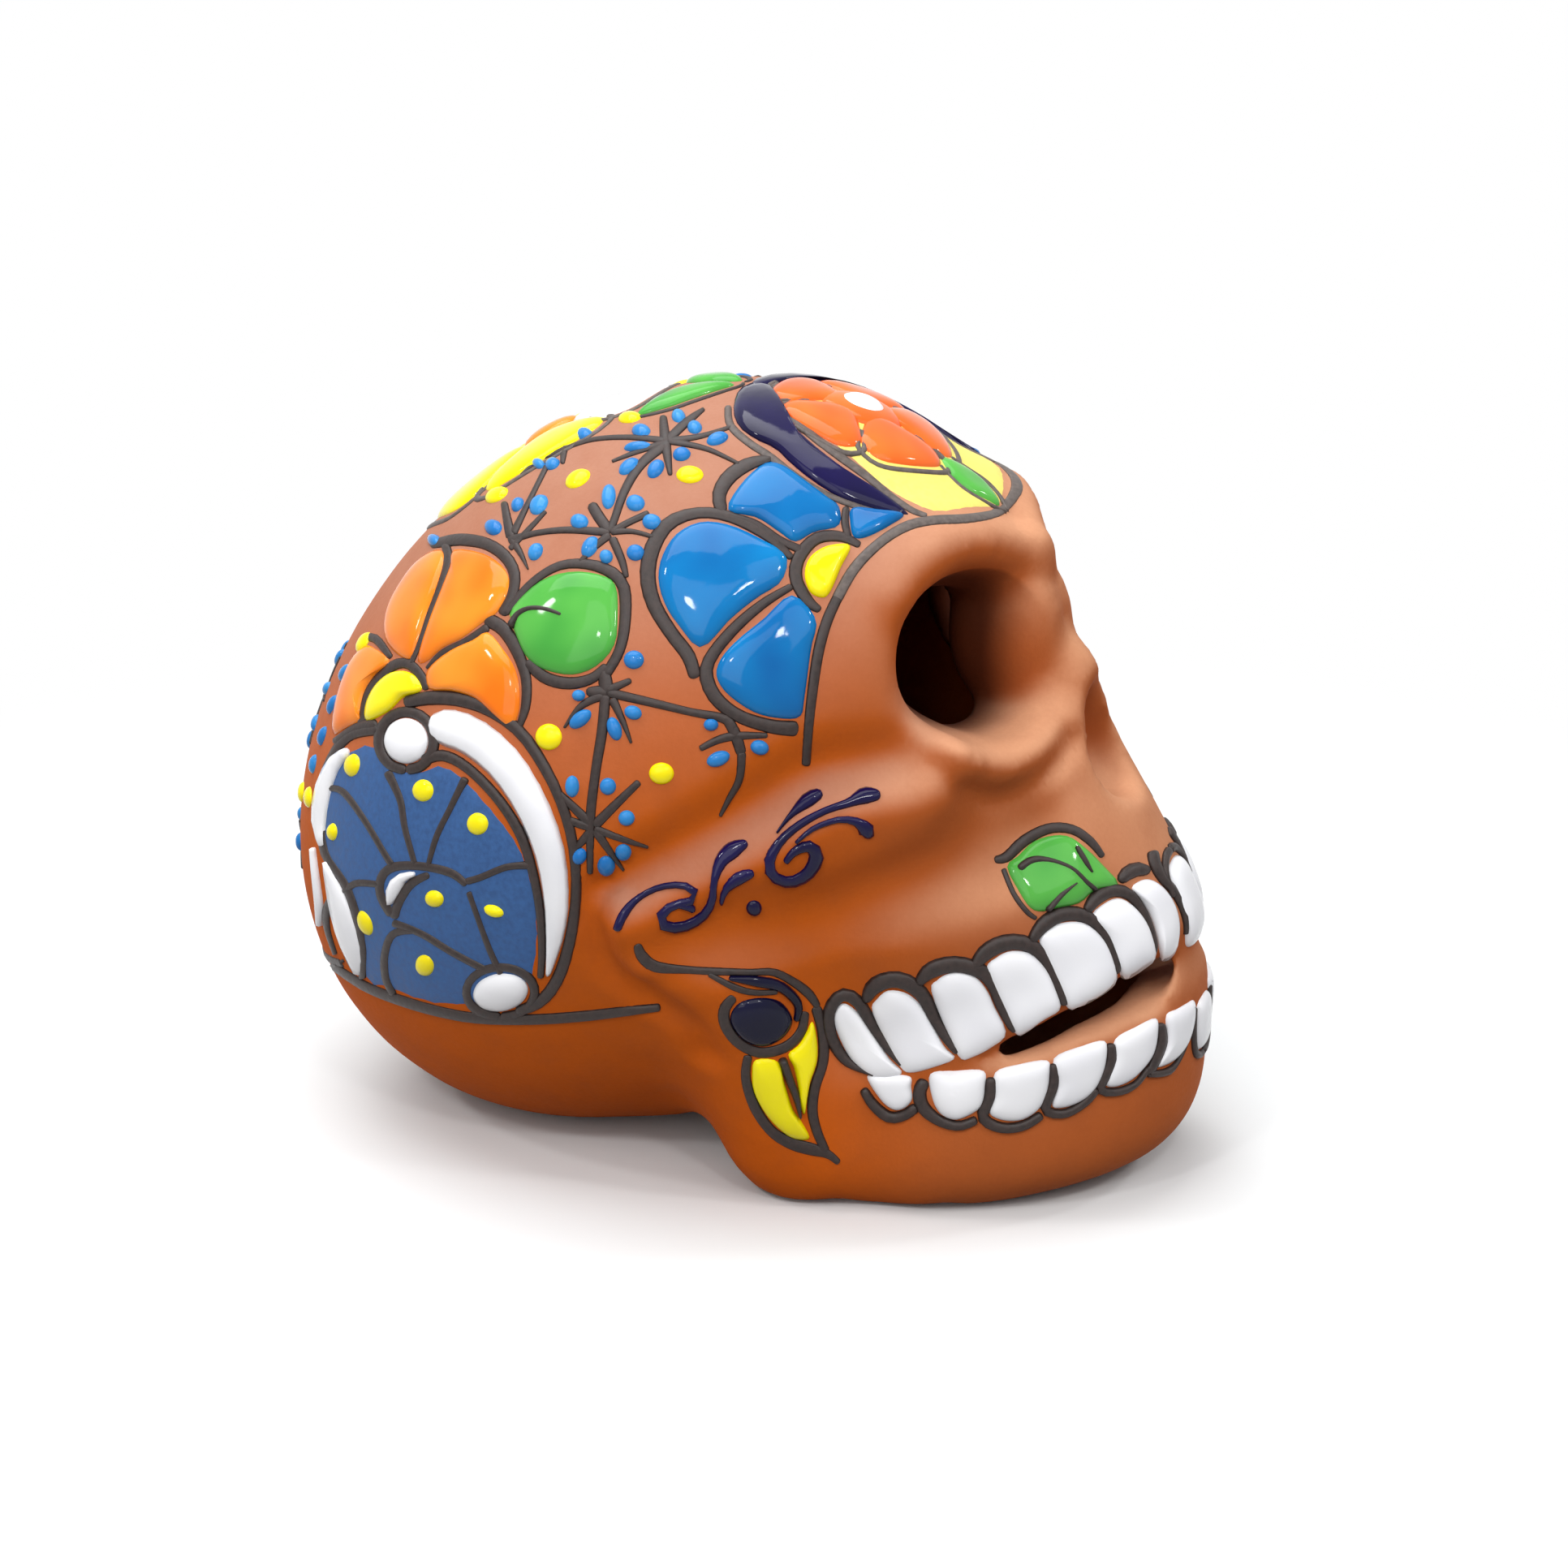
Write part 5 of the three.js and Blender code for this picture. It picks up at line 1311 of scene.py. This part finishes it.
both_sides("flower_lines", line_paint, [
    (stroke, photo, pressed(path, LINE_PRESS), LINE_CROWN) for path in FLOWER_LINES
])
both_sides("leaf_veins", line_paint, [
    (stroke, photo, path, LINE_CROWN, LEAF_CROWN) for path in LEAF_VEINS
])

# %% [markdown]
# A painter keeps white teeth apart with one dark line over each gum and down one side, thick at
# the top where the brush is full. Drawing each as its own stroke, from gum to bite, gives that
# swell and thinning for free.

# %% Brush lines around the teeth
TOOTH_LINES = [
    [(1078, 1324, 5), (1042, 1306, 12), (1023, 1274, 14), (1022, 1245, 14), (1037, 1226, 14),
     (1056, 1233, 14), (1076, 1264, 13), (1096, 1292, 12), (1112, 1312, 6)],
    [(1066, 1234, 10), (1076, 1216, 18), (1096, 1207, 18), (1117, 1210, 18), (1137, 1226, 16),
     (1150, 1252, 14), (1166, 1278, 12), (1180, 1297, 8)],
    [(1131, 1212, 10), (1146, 1196, 18), (1175, 1188, 18), (1206, 1195, 17), (1223, 1212, 15),
     (1234, 1238, 14), (1246, 1264, 10), (1250, 1271, 6)],
    [(1197, 1195, 10), (1215, 1173, 18), (1241, 1161, 18), (1268, 1164, 17), (1288, 1182, 15),
     (1300, 1206, 13), (1309, 1230, 11), (1313, 1240, 7)],
    [(1270, 1160, 10), (1285, 1140, 17), (1306, 1127, 17), (1332, 1127, 16), (1355, 1142, 14),
     (1369, 1164, 13), (1379, 1190, 11), (1382, 1204, 7)],
    [(1338, 1124, 10), (1351, 1106, 16), (1371, 1097, 15), (1391, 1102, 13), (1407, 1119, 12),
     (1420, 1142, 11), (1428, 1166, 10), (1431, 1178, 6)],
    [(1379, 1087, 10), (1389, 1076, 16), (1402, 1071, 16), (1416, 1074, 11)],
    [(1419, 1048, 12), (1423, 1066, 12), (1432, 1083, 10), (1446, 1099, 9), (1456, 1117, 8),
     (1461, 1135, 7), (1462, 1152, 5)],
    [(1063, 1341, 10), (1076, 1361, 12), (1095, 1376, 13), (1114, 1374, 12), (1130, 1363, 12)],
    [(1140, 1330, 14), (1133, 1346, 15), (1138, 1365, 15), (1158, 1381, 12), (1182, 1387, 11),
     (1204, 1379, 10)],
    [(1221, 1327, 12), (1220, 1350, 13), (1211, 1376, 13), (1232, 1389, 12), (1260, 1387, 11),
     (1284, 1373, 10)],
    [(1298, 1310, 10), (1298, 1335, 12), (1288, 1366, 12), (1310, 1372, 10), (1335, 1359, 9),
     (1351, 1341, 9)],
    [(1368, 1285, 10), (1368, 1310, 12), (1355, 1341, 11), (1376, 1345, 9), (1400, 1335, 8),
     (1416, 1317, 8)],
    [(1429, 1260, 9), (1431, 1284, 11), (1419, 1314, 10), (1412, 1322, 9), (1435, 1321, 8),
     (1454, 1308, 7), (1468, 1290, 6), (1475, 1268, 6), (1477, 1240, 5)],
]
TOOTH_LINE_PRESS = 1.15
TOOTH_LINE_LIFT = 0.6
# The lines at the middle teeth, in mm from the front
MIDDLE_GUM_LINE = [(-7, 61.5, 1.3), (-6.3, 66, 1.7), (-3.4, 68.4, 1.8), (-0.1, 68.9, 1.8)]
MIDDLE_CHIN_LINE = [
    (-6.4, 38.5, 1.2), (-6.5, 33, 1.6), (-5.2, 28.4, 1.7), (-2.6, 26.6, 1.7), (-0.1, 26.3, 1.7),
]


def tooth_line(paint, path):
    """A line that follows the lip near its second point."""
    view = lips(path[1][:2])
    stroke(paint, view, pressed(path, TOOTH_LINE_PRESS), LINE_CROWN, TOOTH_LINE_LIFT)


middle_lines = (MIDDLE_GUM_LINE, MIDDLE_CHIN_LINE)
both_sides("tooth_lines", line_paint, [
    *((tooth_line, path) for path in TOOTH_LINES),
    *((stroke, front, path, LINE_CROWN, TOOTH_LINE_LIFT) for path in middle_lines),
])

# %% [markdown]
# The fan's ribs and rims are drawn over the slate field, and lifted by its height. Its two beads
# get a line all round, and a base line runs on around the back of the head.

# %% Brush lines of the fan
FAN_LINES = [
    [(498, 866, 14), (530, 860, 16), (566, 862, 16), (604, 875, 15), (642, 903, 14), (672, 947, 13),
     (692, 990, 12), (706, 1040, 12), (710, 1095, 12), (704, 1150, 13), (690, 1200, 14),
     (668, 1232, 14), (636, 1247, 12)],
    [(520, 937, 13), (546, 931, 13), (576, 946, 12), (612, 982, 12), (640, 1025, 12),
     (656, 1072, 11), (665, 1120, 10), (668, 1170, 9), (666, 1205, 8)],
    [(466, 893, 14), (440, 897, 12), (412, 916, 10)],
    [(468, 899, 12), (430, 907, 12), (406, 940, 10), (396, 980, 9), (397, 1030, 9), (403, 1056, 10),
     (426, 1090, 10), (440, 1130, 10), (447, 1170, 10), (447, 1206, 8)],
    [(478, 950, 12), (494, 985, 9), (500, 1020, 8), (512, 1064, 7)],
    [(574, 958, 10), (556, 995, 8), (539, 1030, 8), (528, 1068, 6)],
    [(655, 1066, 9), (625, 1068, 9), (592, 1081, 9), (574, 1086, 9)],
    [(404, 971, 7), (424, 976, 9), (450, 1010, 8), (474, 1050, 8), (484, 1066, 9)],
    [(424, 1100, 8), (440, 1088, 9), (472, 1090, 8)],
    [(484, 1128, 12), (470, 1103, 11), (471, 1081, 12), (486, 1068, 12), (520, 1067, 11),
     (556, 1075, 11), (576, 1090, 9)],
    [(486, 1132, 12), (492, 1112, 12), (507, 1089, 12), (530, 1077, 9)],
    [(484, 1136, 10), (520, 1150, 9), (560, 1174, 9), (602, 1196, 9)],
    [(578, 1098, 7), (591, 1135, 7), (604, 1170, 8), (618, 1200, 8)],
    [(515, 1146, 8), (486, 1150, 10), (475, 1175, 10), (476, 1205, 9), (486, 1226, 7)],
    [(412, 1100, 7), (403, 1120, 9), (404, 1145, 6), (414, 1176, 4)],
    [(408, 1188, 8), (450, 1215, 11), (495, 1233, 12), (544, 1247, 12), (593, 1255, 12),
     (658, 1256, 12), (719, 1252, 12), (770, 1246, 11), (814, 1241, 9)],
]
# The lines around the beads: middle, half width, half height, width of the line
FAN_RINGS = [((501, 913), 34, 36, 14), ((617, 1222), 42, 31, 12)]
RING_POINTS = 12
# In mm from behind
BACK_BASE_LINE = [
    (-46, 39.5, 1.6), (-40, 37.2, 2), (-30, 34.5, 2), (-15, 32.5, 1.8), (-0.5, 32, 1.6),
]


def ring_path(middle, half_width, half_height, width):
    path = []
    for angle in (*turns(RING_POINTS), math.tau):
        right, down = half_width * math.sin(angle), half_height * math.cos(angle)
        path.append((middle[0] + right, middle[1] + down, width))
    return path


fan_paths = [pressed(path, LINE_PRESS) for path in FAN_LINES]
fan_paths += [ring_path(*ring) for ring in FAN_RINGS]
both_sides("fan_lines", line_paint, [
    *((stroke, photo, path, LINE_CROWN, FIELD_CROWN) for path in fan_paths),
    (stroke, behind, BACK_BASE_LINE, LINE_CROWN),
])

# %% [markdown]
# The asterisks are drawn straight on the clay: six or seven short strokes that meet in one point.
# Each stroke thins towards its free end, as a brush does when it lifts.

# %% The asterisks
STAR_LINES = [
    [(817, 512, 8), (820, 545, 12), (826, 586, 5)], [(868, 504, 4), (846, 520, 10), (822, 543, 10)],
    [(902, 526, 4), (862, 538, 6), (822, 543, 8)], [(911, 572, 4), (870, 553, 6), (822, 543, 8)],
    [(754, 569, 3), (790, 555, 6), (822, 545, 8)],
    [(693, 554, 4), (730, 542, 5), (775, 539, 6), (822, 543, 8)],
    [(820, 547, 12), (790, 572, 11), (770, 604, 10), (757, 640, 9), (750, 656, 10)],
    [(728, 620, 12), (738, 637, 13), (752, 656, 12)], [(800, 632, 8), (772, 645, 8), (752, 657, 9)],
    [(806, 662, 5), (780, 655, 6), (752, 655, 9)], [(772, 712, 6), (766, 690, 9), (754, 662, 10)],
    [(714, 693, 5), (735, 672, 8), (752, 658, 10)],
    [(626, 666, 10), (660, 657, 7), (700, 653, 8), (752, 656, 10)],
    [(621, 618, 8), (625, 640, 10), (630, 664, 12)], [(673, 630, 4), (652, 652, 6), (628, 677, 6)],
    [(674, 574, 6), (655, 612, 6), (632, 658, 9)], [(651, 702, 2), (641, 681, 7), (630, 664, 10)],
    [(698, 541, 6), (695, 555, 8), (693, 572, 5)], [(697, 552, 7), (664, 567, 4), (642, 586, 2)],
    [(744, 824, 12), (746, 840, 16), (748, 856, 16)],
    [(778, 838, 7), (762, 845, 9), (746, 852, 12)],
    [(722, 853, 10), (736, 852, 13), (750, 853, 14)],
    [(695, 897, 3), (716, 870, 8), (744, 856, 11)], [(778, 916, 3), (768, 890, 7), (754, 860, 11)],
    [(746, 856, 12), (742, 900, 12), (734, 950, 11), (728, 1000, 11), (727, 1040, 9),
     (727, 1077, 7)],
    [(748, 853, 11), (800, 865, 10), (850, 877, 9), (893, 886, 11), (905, 902, 12)],
    [(788, 963, 8), (762, 988, 10), (732, 1018, 12)],
    [(687, 975, 7), (706, 994, 10), (730, 1017, 12)],
    [(700, 1010, 9), (716, 1016, 10), (732, 1020, 10)],
    [(799, 1044, 3), (770, 1035, 7), (732, 1021, 10)],
    [(769, 1073, 3), (752, 1050, 8), (733, 1022, 11)],
    [(704, 1052, 5), (716, 1038, 9), (731, 1021, 11)],
    [(862, 923, 7), (884, 912, 9), (906, 907, 10), (946, 906, 6)],
    [(890, 882, 7), (904, 900, 13), (914, 930, 12)],
    [(914, 926, 10), (911, 960, 9), (898, 985, 7), (887, 1006, 4)],
]
# In mm from behind
BACK_STAR_LINES = [
    [(-28, 90, 0.8), (-22, 89, 1.4), (-17, 88, 2)],
    [(-22.5, 98, 0.8), (-19.5, 93, 1.4), (-17, 88, 2)],
    [(-15.5, 99, 0.8), (-16, 93, 1.4), (-17, 88, 2)],
    [(-7, 93.5, 0.8), (-12, 91, 1.4), (-17, 88, 2)],
    [(-8, 80, 0.8), (-12.5, 84, 1.4), (-17, 88, 2)],
    [(-26.5, 79.5, 0.8), (-22, 84, 1.4), (-17, 88, 2)],
    [(-17, 88, 2), (-17.5, 78, 1.5), (-19.5, 68, 1.3), (-21, 57, 1.8)],
    [(-28.5, 63, 0.8), (-24.5, 60, 1.4), (-21, 57, 1.8)],
    [(-13, 63.5, 0.8), (-17, 60.5, 1.4), (-21, 57, 1.8)],
    [(-28, 52, 0.8), (-24.5, 54.5, 1.4), (-21, 57, 1.8)],
    [(-14, 53, 0.8), (-17.5, 55, 1.4), (-21, 57, 1.8)],
]

both_sides("asterisks", line_paint, [
    *((stroke, photo, pressed(path, LINE_PRESS), LINE_CROWN) for path in STAR_LINES),
    *((stroke, behind, path, LINE_CROWN) for path in BACK_STAR_LINES),
])

# %% [markdown]
# One grey line frames the face, from the brow down past the temple, and thinner ones follow the
# comma, the petals and the leaves on the forehead and crown. These upper lines are the same dark
# brush line painted greyer, as painted light where they face up to the lamps.

# %% The lines around the face, the forehead and the crown
FACE_LINE = [
    (1241, 614, 6), (1238, 626, 10), (1222, 634, 11), (1190, 639, 12), (1150, 641, 12),
    (1118, 648, 13), (1085, 668, 13), (1053, 700, 14), (1030, 740, 14),
]
CHEEK_LINE = [
    (1034, 732, 13), (1019, 765, 14), (1008, 805, 14), (1000, 860, 13), (996, 900, 12),
    (993, 944, 11),
]
BAND_LINES = [
    [(956, 470, 10), (959, 492, 11), (974, 512, 11), (1000, 536, 11), (1034, 562, 11),
     (1068, 587, 10), (1096, 610, 9), (1122, 628, 8), (1142, 636, 6)],
    [(897, 500, 9), (900, 524, 10), (922, 545, 10), (948, 562, 10), (972, 581, 10), (1002, 601, 9),
     (1036, 617, 8), (1072, 629, 7), (1106, 637, 5)],
]
# The lines at the leaves, in mm from above
LEAF_LINE = [(-3.6, -39.5, 0.8), (-5.4, -45.5, 1.3), (-3.4, -50, 1.2), (-0.4, -52.4, 0.9)]
CROWN_LEAF_LINE = [
    (-0.6, 2.8, 0.8), (-4, 3, 1.2), (-10.5, 7.6, 1.4), (-15.4, 13.4, 1.4), (-17, 20.4, 1),
]
PETAL_LINE_WIDTH = 1.3
PETAL_LINE_MARGIN = 0.06


def petal_line(paint, centre, radius, angle, lift=0.0):
    """The brush line around one petal, open at the flower's heart."""
    outline = petal(centre, radius, angle, PETAL_LINE_MARGIN)
    path = [(u, v, PETAL_LINE_WIDTH) for u, v in outline[1:]]
    stroke(paint, above, path, LINE_CROWN, lift)


both_sides("face_lines", line_paint_lit, [
    *((stroke, photo, path, LINE_CROWN) for path in (FACE_LINE, *BAND_LINES)),
    (stroke, above, LEAF_LINE, LINE_CROWN, FIELD_CROWN),
])
both_sides("cheek_lines", line_paint, [
    (stroke, photo, CHEEK_LINE, LINE_CROWN),
    (stroke, above, CROWN_LEAF_LINE, LINE_CROWN),
])
forehead_flower = (FLOWER_CENTRE, FLOWER_RADIUS)
middle_piece("petal_lines", line_paint_lit, [
    *((petal_line, *forehead_flower, a, FIELD_CROWN) for a in flower_angles(FLOWER_PETALS)),
    *((petal_line, CROWN_CENTRE, CROWN_RADIUS, angle) for angle in crown_angles),
])

# %% [markdown]
# The set is plain. The white floor takes the skull's shadow near it, and further out it fades into
# the white of the background. The enamel mirrors that white too, but the floor throws little light
# back up, because a bright floor would wash out the dark side under the jaw.

# %% The floor
FLOOR_SIDE = 6.0
FLOOR_TONE = (0.8, 0.815, 0.815, 1)
FLOOR_BOUNCE = (0.22, 0.22, 0.22, 1)
FLOOR_MATT = {"Roughness": 0.9, "Specular IOR Level": 0.0}
FLOOR_FADE = (0.13, 0.36)
WHITE = (1, 1, 1, 1)


def seen_directly(tree):
    """A share that is 1 for the camera and for what mirrors the room, and 0 for soft light."""
    rays = ("Is Camera Ray", "Is Glossy Ray", "Is Transmission Ray")
    return sum(node(tree, "ShaderNodeLightPath", {}, {}, ray) for ray in rays)


def white_floor():
    material, tree, surface = new_finish("white_floor", FLOOR_MATT)
    seen = seen_directly(tree)
    feed(tree, surface, "Base Color", mix(tree, seen, FLOOR_BOUNCE, FLOOR_TONE))
    length = {"operation": "LENGTH"}
    distance = node(tree, "ShaderNodeVectorMath", length, {0: on_object(tree)}, "Value")
    share = fade(tree, distance, *FLOOR_FADE) * seen
    glow = node(tree, "ShaderNodeEmission", {}, {"Color": WHITE, "Strength": 1.0})
    inputs = {0: share, 1: Shade(tree, surface.outputs[0]), 2: glow}
    blend = node(tree, "ShaderNodeMixShader", {}, inputs)
    feed(tree, tree.nodes["Material Output"], "Surface", blend)
    return material


floor_mesh = bpy.data.meshes.new("floor")
floor_net = bmesh.new()
bmesh.ops.create_grid(floor_net, x_segments=1, y_segments=1, size=FLOOR_SIDE / 2)
floor_net.to_mesh(floor_mesh)
floor_net.free()
floor = add_object("floor", floor_mesh, white_floor())
print("floor side, m:", FLOOR_SIDE)

# %% [markdown]
# Three large soft lamps model the skull and hardly show in the enamel, because their light is
# spread thin. A ring of small ones draws the crisp sparks. The room itself is dim, so that the
# shadows keep their depth, and only looks white.

# %% Lamps and world
ROOM_TONE = (0.16, 0.16, 0.17, 1)
# The large lamps: place and side in metres, power in watts
SOFTBOXES = {
    "overhead_softbox": ((0.1, 0.35, 1.25), 1.2, 18),
    "face_softbox": ((-0.6, -0.9, 1.15), 1.0, 6),
    "side_softbox": ((-1.3, 0.15, 0.85), 1.2, 10),
}
SPARK_TURNS = (-150, -100, -60, -15, 30)
SPARK_RISE = math.radians(42)
SPARK_DISTANCE = 1.2
SPARK_SIDE = 0.09
SPARK_POWER = 1.5


def lamp(name, place, side, power):
    data = bpy.data.lights.new(name, "AREA")
    data.shape = "SQUARE"
    data.size = side
    data.energy = power
    set_up(bpy.data.objects.new(name, data), place, facing(AIM - Vector(place)))


for name, softbox in SOFTBOXES.items():
    lamp(name, *softbox)
for number, turn in enumerate(SPARK_TURNS, 1):
    spot = direction(math.radians(turn), SPARK_RISE) * SPARK_DISTANCE
    lamp(f"spark_lamp_{number}", spot, SPARK_SIDE, SPARK_POWER)

scene.view_settings.view_transform = "Standard"
scene.world = bpy.data.worlds.new("pale_room")
scene.world.use_nodes = True
room = scene.world.node_tree
feed(room, room.nodes["Background"], "Color", mix(room, seen_directly(room), ROOM_TONE, WHITE))
print("lamps:", len(bpy.data.lights))
